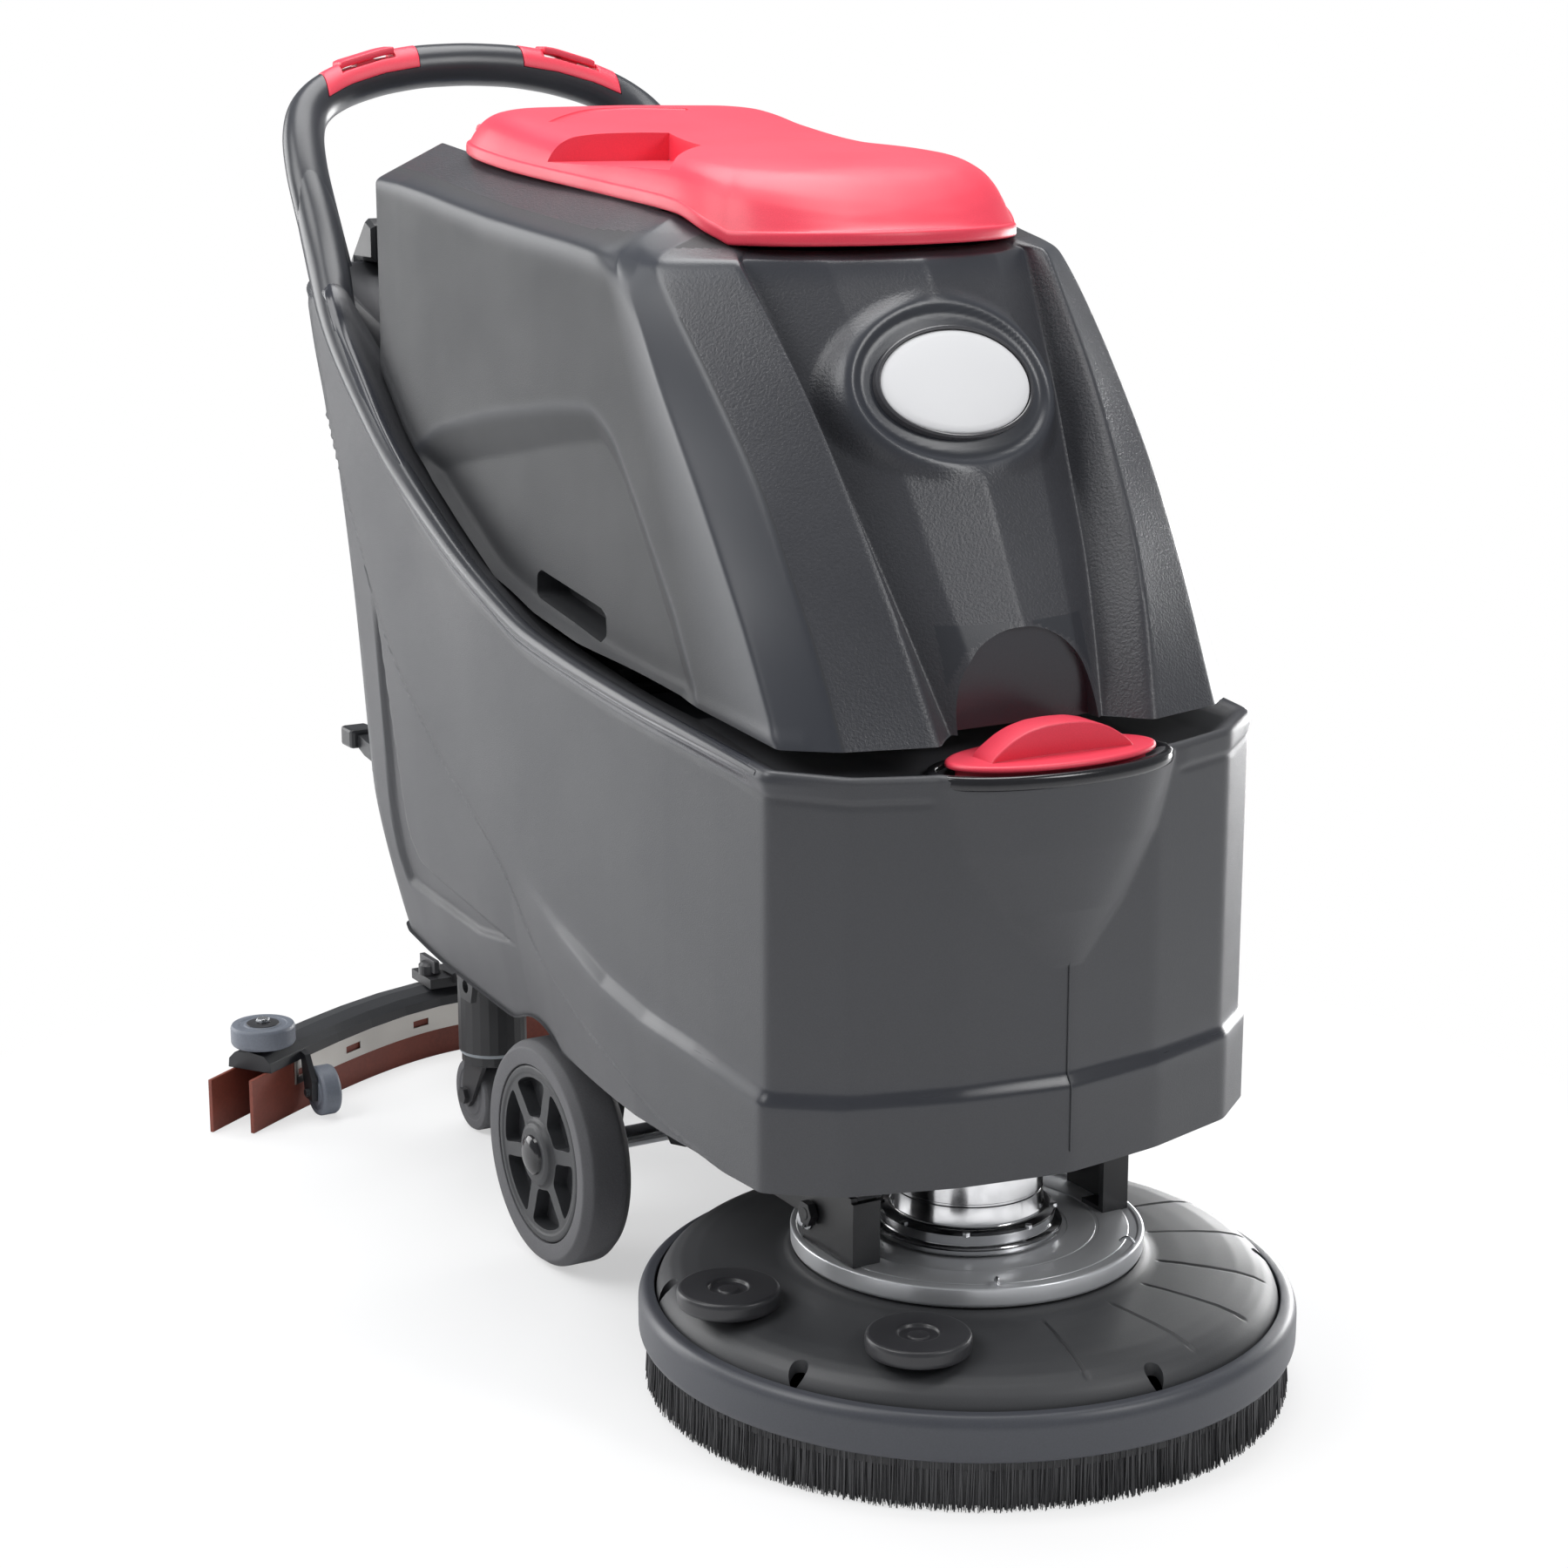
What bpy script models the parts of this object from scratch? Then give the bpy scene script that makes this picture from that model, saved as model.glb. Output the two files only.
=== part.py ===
"""Walk-behind floor scrubber: a hollow tank body, lift-up tank, lid, brush deck, squeegee and wheels.

Units are metres and +Z is up. The front of the machine (the brush deck) faces -Y, the operator
stands at +Y, and the origin is on the floor at the middle of the machine.
"""

import math

import bmesh
import bpy
from mathutils import Matrix, Vector

# ---------------------------------------------------------------- driving dimensions
GAP = 0.0004            # clear air between touching pieces
FIT = 0.0007            # running clearance round a turning piece
SHIFT_Y = 0.012         # puts the middle of the whole object over the origin
OVER = 0.004            # how far a cutter runs past the face it opens
WELD = 0.002            # how far shapes that are joined into one body reach into each other

BODY_HALF = 0.2314      # half width of the lower tank
BODY_FRONT = -0.528     # front of the lower tank on the centre line
BODY_REAR = 0.345       # rear of the lower tank at its base
BODY_BASE = 0.217       # underside of the lower tank at the front
KEEL_SHARE = 0.67       # width and length of the flat underside that carries the frame
KEEL_LONG = 0.93
WALL = 0.012            # moulded wall of both tanks

BAY_HALF = 0.180        # battery bay in the lower tank
BAY_FRONT = -0.265
BAY_REAR = 0.215
BAY_FLOOR = 0.300

NECK_HALF = 0.108       # oval filling neck at the front of the lower tank
NECK_DEPTH = 0.050
NECK_Y = -0.498
NECK_TOP = 0.532
NECK_SEAT = 0.542       # face that the filling cap lies on

TANK_HALF = 0.208       # half width of the recovery tank
SEAM = 0.012            # open seam between the two tanks
HINGE_Y = 0.428         # hinge of the recovery tank
HINGE_Z = 0.868
HINGE_R = 0.006

LID_FRONT = -0.306      # recovery tank lid
LID_REAR = 0.245
LID_EDGE = 0.016        # height of the lid's edge
LID_PIN_Y = 0.263       # hinge of the lid
LID_PIN_Z = 0.990
LID_PIN_R = 0.003
LID_CLEAR = 0.0022      # seam under the lid's edge
LID_WALL = 0.008

DECK_Y = -0.390         # middle of the brush deck
RING_R = 0.270          # outside of the deck's bumper ring
BRUSH_R = 0.246         # scrubbing brush
PLATE_R = 0.145         # motor plate on the deck
PLATE_Z = 0.113
MOTOR_R = 0.062
BRACKET_X = 0.130       # deck bracket's plates
BOLT_Y = -0.368         # pivots between the lift arms and the deck
BOLT_Z = 0.156
ARM_Y = -0.130          # pivots between the lift arms and the frame
ARM_Z = 0.156

WHEEL_R = 0.103         # transport wheels
WHEEL_W = 0.048
WHEEL_X = 0.185
WHEEL_Y = -0.005
AXLE_R = 0.010

CASTER_R = 0.0375       # rear casters
CASTER_W = 0.028
CASTER_X = 0.100
CASTER_Y = 0.322
CASTER_TRAIL = 0.026

SQUEEGEE_HALF = 0.334   # squeegee
SQUEEGEE_Y = 0.610
BLADE_TOP = 0.056
SQUEEGEE_BOW = 0.150    # how round the squeegee's middle is
SQUEEGEE_SLOPE = 0.80   # how far its ends sweep forward
PIVOT_Y = 0.345         # lift pivot of the squeegee arm
PIVOT_Z = 0.150
ROLLER_R = 0.033

BAR_Z = 1.049           # handle crossbar
BAR_Y = 0.556
GRIP_IN = 0.057         # red covers on the crossbar
GRIP_OUT = 0.160
PADDLE_IN = 0.082       # drive paddles let into the covers
PADDLE_OUT = 0.140
PRESS = 0.0025          # travel of a paddle or a button
BAR_SIDE = 0.021        # handle section, half width and half height
BAR_FLAT = 0.017

MATERIALS = {
    "tank_plastic": (0.085, 0.087, 0.093),
    "tank_dark": (0.045, 0.046, 0.050),
    "red_plastic": (0.80, 0.035, 0.055),
    "black_plastic": (0.020, 0.020, 0.022),
    "ring_grey": (0.11, 0.12, 0.14),
    "bristle": (0.012, 0.012, 0.013),
    "aluminium": (0.62, 0.63, 0.65),
    "steel": (0.50, 0.51, 0.53),
    "dark_steel": (0.030, 0.030, 0.032),
    "rubber_grey": (0.14, 0.16, 0.19),
    "tyre_rubber": (0.045, 0.045, 0.048),
    "blade_rubber": (0.16, 0.035, 0.022),
    "white_plate": (0.80, 0.80, 0.81),
    "battery_case": (0.035, 0.037, 0.042),
    "screen": (0.03, 0.05, 0.06),
    "green_plastic": (0.05, 0.30, 0.10),
    "blue_plastic": (0.04, 0.16, 0.42),
}


# ---------------------------------------------------------------- helpers
def clear_scene():
    for obj in list(bpy.data.objects):
        bpy.data.objects.remove(obj, do_unlink=True)


def material(name):
    found = bpy.data.materials.get(name)
    if found:
        return found
    made = bpy.data.materials.new(name)
    made.use_nodes = True
    shader = made.node_tree.nodes["Principled BSDF"]
    shader.inputs["Base Color"].default_value = (*MATERIALS[name], 1.0)
    metal = name in ("aluminium", "steel", "dark_steel")
    shader.inputs["Metallic"].default_value = 1.0 if metal else 0.0
    shader.inputs["Roughness"].default_value = 0.35 if metal else 0.5
    return made


def blend(value, table):
    """Straight-line interpolation in rows of (value, result...)."""
    if value <= table[0][0]:
        return table[0][1:]
    for low, high in zip(table, table[1:]):
        if value <= high[0]:
            share = (value - low[0]) / (high[0] - low[0])
            return tuple(a + share * (b - a) for a, b in zip(low[1:], high[1:]))
    return table[-1][1:]


def mesh_object(name, verts, faces):
    data = bpy.data.meshes.new(name)
    data.from_pydata([tuple(v) for v in verts], [], [tuple(f) for f in faces])
    shape = bmesh.new()
    shape.from_mesh(data)
    bmesh.ops.triangulate(shape, faces=shape.faces)
    bmesh.ops.recalc_face_normals(shape, faces=shape.faces)
    if shape.calc_volume(signed=True) < 0:
        bmesh.ops.reverse_faces(shape, faces=shape.faces)
    shape.to_mesh(data)
    shape.free()
    obj = bpy.data.objects.new(name, data)
    bpy.context.scene.collection.objects.link(obj)
    return obj


def skin(name, rings, across=0):
    """A closed body through rings that all hold the same number of points."""
    count = len(rings[0])
    verts = [point for ring in rings for point in ring]
    faces = []
    for level in range(len(rings) - 1):
        for i in range(count):
            j = (i + 1) % count
            low = level * count
            faces.append((low + i, low + j, low + count + j, low + count + i))
    for start, low in ((0, True), ((len(rings) - 1) * count, False)):
        for face in cap_faces(rings[0], across):
            corners = [start + i for i in face]
            faces.append(corners[::-1] if low else corners)
    return mesh_object(name, verts, faces)


def cap_faces(ring, across):
    """One face over the ring or, for a mirrored ring, bands that run straight across it.

    The first band spans the front, up to the point numbered by across.
    """
    count = len(ring)
    if not across:
        return [tuple(range(count))]
    last = count // 2
    other = [0] + [count - i for i in range(1, last)] + [last]
    bands = [tuple(range(across + 1)) + tuple(other[i] for i in range(across, 0, -1))]
    for i in range(across, last - 2):
        bands.append((i, i + 1, other[i + 1], other[i]))
    return bands + [(last - 2, last - 1, last, other[last - 1], other[last - 2])]


def turn_about(point, axis, centre):
    """A point given along +Z, moved to an axis X, Y or Z through centre."""
    x, y, z = point
    moved = {"X": (z, x, y), "Y": (y, z, x), "Z": (x, y, z)}[axis]
    return tuple(a + b for a, b in zip(moved, centre))


def turned(name, profile, axis="Z", centre=(0, 0, 0), steps=24):
    """A closed profile of (radius, height) rows, revolved. Rows at radius 0 close it on the axis."""
    verts = []
    index = []
    for radius, height in profile:
        row = []
        for step in range(steps):
            if radius == 0 and step:
                row.append(row[0])
                continue
            angle = 2 * math.pi * step / steps
            flat = (radius * math.cos(angle), radius * math.sin(angle), height)
            row.append(len(verts))
            verts.append(turn_about(flat, axis, centre))
        index.append(row)
    faces = []
    for a, b in zip(index, index[1:] + index[:1]):
        for step in range(steps):
            after = (step + 1) % steps
            corners = []
            for corner in (a[step], a[after], b[after], b[step]):
                if corner not in corners:
                    corners.append(corner)
            if len(corners) > 2:
                faces.append(corners)
    return mesh_object(name, verts, faces)


def cylinder(name, radius, low, high, axis="Z", centre=(0, 0, 0), steps=16):
    return turned(name, [(0, low), (radius, low), (radius, high), (0, high)], axis, centre, steps)


def box(name, low, high):
    (x0, y0, z0), (x1, y1, z1) = low, high
    flat = [(x0, y0), (x1, y0), (x1, y1), (x0, y1)]
    return skin(name, [[(x, y, z0) for x, y in flat], [(x, y, z1) for x, y in flat]])


def prism(name, outline, axis, low, high):
    """An outline drawn in the plane across the axis: (y, z) for X, (x, z) for Y, (x, y) for Z."""
    place = {"X": lambda p, d: (d, p[0], p[1]), "Y": lambda p, d: (p[0], d, p[1]),
             "Z": lambda p, d: (p[0], p[1], d)}[axis]
    return skin(name, [[place(p, low) for p in outline], [place(p, high) for p in outline]])


def combine(target, other, operation):
    """Applies a Boolean at once and removes the other object."""
    change = target.modifiers.new("change", "BOOLEAN")
    change.operation = operation
    change.solver = "EXACT"
    change.object = other
    graph = bpy.context.evaluated_depsgraph_get()
    made = bpy.data.meshes.new_from_object(target.evaluated_get(graph))
    target.modifiers.clear()
    target.data = made
    bpy.data.objects.remove(other, do_unlink=True)
    return target


def cut(target, *others):
    for other in others:
        combine(target, other, "DIFFERENCE")
    return target


def join(target, *others):
    for other in others:
        combine(target, other, "UNION")
    return target


def bevelled(obj, width, segments=2, angle=35):
    change = obj.modifiers.new("bevel", "BEVEL")
    change.width = width
    change.segments = segments
    change.limit_method = "ANGLE"
    change.angle_limit = math.radians(angle)
    graph = bpy.context.evaluated_depsgraph_get()
    made = bpy.data.meshes.new_from_object(obj.evaluated_get(graph))
    obj.modifiers.clear()
    obj.data = made
    return obj


def tube_path(name, path, side, flat, up=(0, 0, 1), steps=12):
    """An oval bar swept along a path. flat is its half size towards up."""
    rings = []
    for i, point in enumerate(path):
        here = Vector(point)
        before = Vector(path[max(i - 1, 0)])
        after = Vector(path[min(i + 1, len(path) - 1)])
        along = (after - before).normalized()
        across = along.cross(Vector(up)).normalized()
        above = across.cross(along).normalized()
        ring = []
        for step in range(steps):
            angle = 2 * math.pi * step / steps
            ring.append(here + across * side * math.cos(angle) + above * flat * math.sin(angle))
        rings.append(ring)
    return skin(name, rings)


def finish(obj, name, slot, origin, smooth=True):
    """Names the piece, puts its origin where it turns and gives it its material."""
    obj.name = name
    obj.data.name = name
    obj.data.transform(Matrix.Translation(-Vector(origin)))
    obj.location = Vector(origin) + Vector((0, SHIFT_Y, 0))
    obj.data.materials.clear()
    obj.data.materials.append(material(slot))
    for face in obj.data.polygons:
        face.use_smooth = smooth
    if smooth:
        obj.data.set_sharp_from_angle(angle=math.radians(35))
    return obj


def mirrored(points):
    """A half outline on +X, front to rear, closed by its mirror image."""
    inner = [p for p in points if p[0] > 0]
    return list(points) + [(-p[0], *p[1:]) for p in reversed(inner)]


# ---------------------------------------------------------------- lower tank
RIM = [                 # y, z of the lower tank's top edge along its side
    (-0.600, 0.532), (-0.466, 0.545), (-0.358, 0.552), (-0.212, 0.560), (-0.049, 0.580),
    (0.039, 0.597), (0.130, 0.640), (0.224, 0.695), (0.272, 0.735), (0.322, 0.782),
    (0.351, 0.816), (0.372, 0.850), (0.420, 0.862), (0.600, 0.862),
]
LEAN = [                # z and how far the rear wall has leant back there
    (0.217, -0.010), (0.29, 0.0), (0.40, 0.025), (0.56, 0.055), (0.66, 0.080),
    (0.73, 0.100), (0.79, 0.125), (0.87, 0.150),
]
CREASE = [              # y and z of the waist's upper crease along the side
    (-0.46, 0.299), (-0.35, 0.311), (-0.27, 0.316), (-0.20, 0.327), (-0.11, 0.352), (0.0, 0.39),
]
BASE = [(-0.53, BODY_BASE + 0.0015), (0.05, 0.220), (0.20, 0.230), (0.34, 0.246)]
WAIST_STEP = 0.012      # height of the step at the waist
FLARE = 0.006           # how far the base stands out below the waist
PLAN = [                # half plan of the lower tank, front to rear: x, y, share of the rear's lean
    (0.0, BODY_FRONT, 0.0), (0.090, BODY_FRONT + 0.012, 0.0), (0.175, -0.492, 0.0),
    (0.2245, -0.4535, 0.0), (0.228, -0.38, 0.0), (0.2305, -0.30, 0.0), (BODY_HALF, -0.21, 0.0),
    (BODY_HALF, -0.11, 0.0), (BODY_HALF, -0.01, 0.05), (BODY_HALF, 0.06, 0.15),
    (BODY_HALF, 0.12, 0.35), (BODY_HALF, 0.18, 0.60), (BODY_HALF - 0.001, 0.235, 0.85),
    (0.228, 0.285, 1.0), (0.216, 0.322, 1.0), (0.190, 0.338, 1.0), (0.120, BODY_REAR, 1.0),
    (0.0, BODY_REAR, 1.0),
]


def body_point(row, z, out):
    """A point of the lower tank's wall, moved outwards by out."""
    x, y, share = row
    lean = blend(z, LEAN)[0] * share
    length = math.hypot(x, min(0.0, y + 0.42))
    push_y = 0.0 if not length else out * min(0.0, y + 0.42) / length
    push_x = out * (x / BODY_HALF)
    rear = out if y > 0.33 else 0.0
    return x + push_x, y + lean + push_y + rear


def rim_height(row):
    """Height at which a wall column meets the rim, found by stepping up the lean."""
    z = blend(row[1], RIM)[0]
    for _ in range(12):
        z = 0.5 * (z + blend(body_point(row, z, 0)[1], RIM)[0])
    return z


def body_columns(out=0.0, flared=True):
    """Levels of every wall column, from the base to the rim."""
    columns = []
    for row in PLAN:
        top = rim_height(row)
        fade = min(1.0, max(0.0, (0.0 - row[1]) / 0.20)) if flared else 0.0
        crease = blend(row[1], CREASE)[0]
        base = blend(row[1], BASE)[0]
        taper = 0.022 * min(1.0, max(0.0, (row[1] + 0.25) / 0.25)) if flared else 0.0
        levels = [
            (base, FLARE * fade - taper), (0.5 * (base + crease), FLARE * fade - 0.3 * taper),
            (crease - WAIST_STEP, FLARE * fade), (crease, 0.0),
            (crease + 0.35 * (top - crease), 0.0), (crease + 0.7 * (top - crease), 0.0), (top, 0.0),
        ]
        column = [(*body_point(row, z, push + out), z) for z, push in levels]
        columns.append([(0.0 if row[0] == 0 else x, y, z) for x, y, z in column])
    return columns


def lower_tank():
    columns = body_columns()
    keel = [(column[0][0] * KEEL_SHARE, column[0][1] * KEEL_LONG, BODY_BASE) for column in columns]
    rings = [mirrored(keel)]
    for level in range(len(columns[0])):
        rings.append(mirrored([column[level] for column in columns]))
    tank = skin("solution_tank", rings, 1)
    neck_rings = []
    for z, half, depth, middle in (
        (0.385, 0.014, 0.012, -0.516), (0.43, 0.058, 0.034, -0.504),
        (0.48, 0.090, 0.045, -0.499), (NECK_TOP, NECK_HALF, NECK_DEPTH, NECK_Y),
    ):
        neck_rings.append(oval(half, depth, middle, z))
    neck_rings.append(oval(NECK_HALF, NECK_DEPTH, NECK_Y, NECK_SEAT + 0.004))
    join(tank, skin("neck", neck_rings))
    for side in (-1, 1):
        low, high = sorted((side * 0.190, side * 0.212))
        pad_top = tank_base(-0.43) - GAP
        join(tank, box("pad", (low, -0.43, 0.53), (high, -0.40, pad_top)))
    bay = box("bay", (-BAY_HALF, BAY_FRONT, BAY_FLOOR), (BAY_HALF, BAY_REAR, 0.90))
    cut(tank, bay)
    cut(tank, box("vacuum_bay", (-0.155, BAY_REAR + 0.020, 0.36), (0.155, 0.352, 0.95)))
    back = BAY_FRONT - 0.020
    cut(tank, prism("water", [(-0.150, -0.480), (0.150, -0.480), (0.200, -0.440), (0.200, back),
                              (-0.200, back), (-0.200, -0.440)], "Z", 0.385, 0.515))
    mouth = skin("mouth", [
        oval(0.050, 0.030, NECK_Y + 0.004, 0.430),
        oval(NECK_HALF - 0.022, NECK_DEPTH - 0.014, NECK_Y, 0.50),
        oval(NECK_HALF - 0.012, NECK_DEPTH - 0.010, NECK_Y, 0.56),
    ])
    cut(tank, mouth)
    cut(tank, skin("cap_seat", [oval(NECK_HALF + 0.004, NECK_DEPTH + 0.004, NECK_Y, z)
                                for z in (NECK_SEAT, 0.62)]))
    cut(tank, cylinder("motor_well", 0.092, BODY_BASE - OVER, 0.345, "Z", (0, DECK_Y, 0), 24))
    for side in (-1, 1):
        low, high = sorted((side * 0.150, side * 0.26))
        arch = cylinder("arch", WHEEL_R + 0.026, low, high, "X", (0, WHEEL_Y - 0.012, WHEEL_R), 24)
        cut(tank, arch)
        low, high = sorted((side * (BRACKET_X - 0.026), side * (BRACKET_X + 0.024)))
        cut(tank, box("ear_well", (low, BOLT_Y - 0.075, BODY_BASE - OVER), (high, BOLT_Y + 0.05, 0.262)))
        cut(tank, pocket_side(side))
        low, high = sorted((side * 0.050, side * 0.100))
        cut(tank, box("ear_slot", (low, 0.350, 0.836), (high, 0.4515, 0.95)))
        low, high = sorted((side * 0.102, side * 0.114))
        join(tank, prism("lug", [(0.414, 0.85), (0.442, 0.85), (0.440, 0.872), (0.434, 0.879),
                                 (0.422, 0.879), (0.416, 0.872)], "X", low, high))
    cut(tank, cylinder("hinge_hole", HINGE_R + GAP, -0.12, 0.12, "X", (0, HINGE_Y, HINGE_Z), 16))
    lever_ears(tank)
    return finish(tank, "solution_tank", "tank_plastic", (0, 0, 0))


def oval(half, depth, middle, z, steps=28):
    ring = []
    for step in range(steps):
        angle = 2 * math.pi * step / steps
        ring.append((half * math.cos(angle), middle + depth * math.sin(angle), z))
    return ring


def pocket_side(side):
    """The bent groove moulded into the rear of the lower tank's side."""
    outer = [(0.300, 0.600), (0.281, 0.470), (0.262, 0.322), (0.248, 0.296), (0.088, 0.286),
             (0.000, 0.297), (0.125, 0.316), (0.204, 0.328), (0.223, 0.348), (0.262, 0.474)]
    shapes = [[(side * x, y, z) for y, z in outer] for x in (BODY_HALF - 0.006, BODY_HALF + 0.012)]
    return skin("groove", shapes)


# ---------------------------------------------------------------- recovery tank
FRONT_LEVELS = [        # z, middle y, panel edge x y, rib inner x y, rib outer x y, side x y
    (0.560, -0.497, 0.071, -0.463, 0.098, -0.495, 0.173, -0.474, 0.2085, -0.443),
    (0.635, -0.458, 0.087, -0.425, 0.110, -0.464, 0.176, -0.436, 0.2085, -0.396),
    (0.680, -0.434, 0.096, -0.400, 0.117, -0.441, 0.179, -0.409, 0.2085, -0.363),
    (0.740, -0.403, 0.106, -0.362, 0.124, -0.404, 0.182, -0.370, 0.2085, -0.317),
    (0.810, -0.365, 0.119, -0.316, 0.132, -0.355, 0.188, -0.310, 0.2080, -0.259),
    (0.870, -0.333, 0.127, -0.277, 0.139, -0.303, 0.193, -0.252, 0.2075, -0.213),
    (0.906, -0.312, 0.133, -0.252, 0.144, -0.270, 0.196, -0.215, 0.2070, -0.172),
]
SHOULDER = [            # y, z of the recovery tank's side shoulder
    (-0.17, 0.908), (0.057, 0.926), (0.303, 0.949), (0.335, 0.946), (0.385, 0.921), (0.43, 0.896),
]
CROWN = [               # y, z of the recovery tank's top beside the lid
    (-0.31, 0.905), (-0.259, 0.906), (-0.223, 0.920), (-0.173, 0.936), (-0.05, 0.945),
    (0.119, 0.9585), (0.229, 0.972), (0.306, 0.981), (0.350, 0.962), (0.400, 0.930),
]
TANK_SIDES = [-0.10, -0.02, 0.06, 0.13, 0.19, 0.25, 0.303, 0.335, 0.365, 0.385]


def tank_base(y):
    """Underside of the recovery tank: it follows the lower tank's rim above an open seam."""
    return blend(y, RIM)[0] + SEAM


def front_rings():
    """Columns of the recovery tank's front: middle, panel, rib and side, base to crown."""
    low = FRONT_LEVELS[0][0]
    high = FRONT_LEVELS[-1][0]
    levels = [low + (high - low) * i / 7 for i in range(8)]
    columns = [[] for _ in range(6)]
    for z in levels:
        middle, ex, ey, ix, iy, ox, oy, sx, sy = blend(z, FRONT_LEVELS)
        points = [(0, middle), (0.6 * ex, middle + 0.36 * (ey - middle)), (ex, ey), (ix, iy),
                  (ox, oy), (sx, sy)]
        for column, (x, y) in zip(columns, points):
            column.append((x, y, z))
    inner = [(0, -0.285, 0.912), (0.075, -0.268, 0.912), (0.118, -0.240, 0.913),
             (0.130, -0.232, 0.916), (0.140, -0.205, 0.925), (0.1446, -0.165, 0.9365)]
    for column, point in zip(columns, inner):
        column.append(point)
    return columns


def side_rings():
    columns = []
    for y in TANK_SIDES:
        base = tank_base(y)
        top = blend(y, SHOULDER)[0]
        x = TANK_HALF - 0.5 * max(0.0, y - 0.30)
        column = [(x, y, base + (top - base) * i / 7) for i in range(8)]
        reach = min(y, 0.35)
        column.append((0.1446, reach - 0.012, blend(reach, CROWN)[0]))
        columns.append(column)
    rear = 0.392
    base = tank_base(rear)
    for x in (0.150, 0.0):
        column = [(x, rear + 0.006, base + (0.918 - base) * i / 7) for i in range(8)]
        column.append((x * 0.8, 0.345, 0.962))
        columns.append(column)
    return columns


def tank_columns():
    return front_rings() + side_rings()


def scallop(side):
    """The arched recess in the recovery tank's side."""
    outer = [(0.262, 0.690), (0.180, 0.735), (0.066, 0.760), (-0.073, 0.780), (-0.138, 0.785),
             (-0.176, 0.765), (-0.228, 0.702), (-0.278, 0.640), (-0.325, 0.560), (-0.10, 0.54),
             (0.10, 0.57)]
    inner = [(0.245, 0.676), (0.160, 0.703), (0.060, 0.722), (-0.060, 0.745), (-0.135, 0.757),
             (-0.166, 0.735), (-0.212, 0.676), (-0.252, 0.620), (-0.290, 0.560), (-0.10, 0.54),
             (0.10, 0.57)]
    return skin("scallop", [
        [(side * (TANK_HALF - 0.011), y, z) for y, z in inner],
        [(side * (TANK_HALF + 0.001), y, z) for y, z in outer],
        [(side * (TANK_HALF + 0.011), y, z) for y, z in outer],
    ])


def recovery_tank():
    columns = tank_columns()
    rings = [mirrored([column[level] for column in columns]) for level in range(9)]
    tank = skin("recovery_tank", rings)
    hollow = skin("hollow", [
        [(x, y, 0.640) for x, y in rounded(0.150, -0.330, 0.050, 0.05)],
        [(x, y, 0.760) for x, y in rounded(0.150, -0.300, 0.200, 0.05)],
        [(x, y, 0.870) for x, y in rounded(0.128, -0.235, 0.240, 0.05)],
        [(x, y, 1.050) for x, y in rounded(0.110, -0.215, 0.205, 0.05)],
    ])
    cut(tank, hollow)
    cut(tank, lid_seat())
    cut(tank, arch_pocket())
    for side in (-1, 1):
        cut(tank, scallop(side))
        low, high = sorted((side * 0.166, side * 0.23))
        slot = [(-0.131, 0.586), (-0.010, 0.594), (-0.006, 0.600), (-0.006, 0.614),
                (-0.013, 0.620), (-0.129, 0.616), (-0.137, 0.609), (-0.138, 0.594)]
        cut(tank, prism("slot", slot, "X", low, high))
    cut(tank, oval_recess())
    for side in (-1, 1):
        low, high = sorted((side * 0.055, side * 0.095))
        join(tank, prism("ear", [
            (0.385, 0.850), (0.420, 0.846), (0.440, 0.856), (0.444, 0.872), (0.436, 0.884),
            (0.385, 0.900)], "X", low, high))
    cut(tank, cylinder("hinge_hole", HINGE_R + FIT, -0.12, 0.12, "X", (0, HINGE_Y, HINGE_Z), 16))
    for side in (-1, 1):
        low, high = sorted((side * 0.1225, side * 0.132))
        join(tank, prism("lid_lug", [(0.250, 0.965), (0.276, 0.965), (0.272, 0.992), (0.266, 0.998),
                                     (0.260, 0.998), (0.254, 0.992)], "X", low, high))
    cut(tank, cylinder("lid_hole", LID_PIN_R + GAP, -0.15, 0.15, "X", (0, LID_PIN_Y, LID_PIN_Z), 16))
    return finish(tank, "recovery_tank", "tank_plastic", (0, HINGE_Y, HINGE_Z))


def rounded(half, front, rear, radius, steps=3):
    """A rectangle with rounded corners as (x, y) points."""
    points = []
    corners = [(half, front, -90), (half, rear, 0), (-half, rear, 90), (-half, front, 180)]
    for x, y, start in corners:
        cx = x - math.copysign(radius, x)
        cy = y + radius if y == front else y - radius
        for step in range(steps + 1):
            angle = math.radians(start + 90 * step / steps)
            points.append((cx + radius * math.cos(angle), cy + radius * math.sin(angle)))
    return points


def arch_pocket():
    """The arch in the recovery tank's front that leaves room for the filling cap."""
    half = [(0.066, 0.540), (0.0645, 0.577), (0.057, 0.603), (0.040, 0.6235), (0.019, 0.634),
            (0.0, 0.637)]
    outline = [(-x, z) for x, z in half] + half[-2::-1]
    return prism("arch", outline, "Y", -0.60, -0.4525)


def badge_centre():
    """Middle of the badge on the front panel, and the panel's slope there."""
    z = 0.8145
    return Vector((0.0, blend(z, FRONT_LEVELS)[0], z))


BADGE_TILT = math.atan2(0.094, 0.178)     # lean of the front panel
BADGE_HALF = 0.072
BADGE_HIGH = 0.047
BADGE_BOW = 0.006


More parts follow.
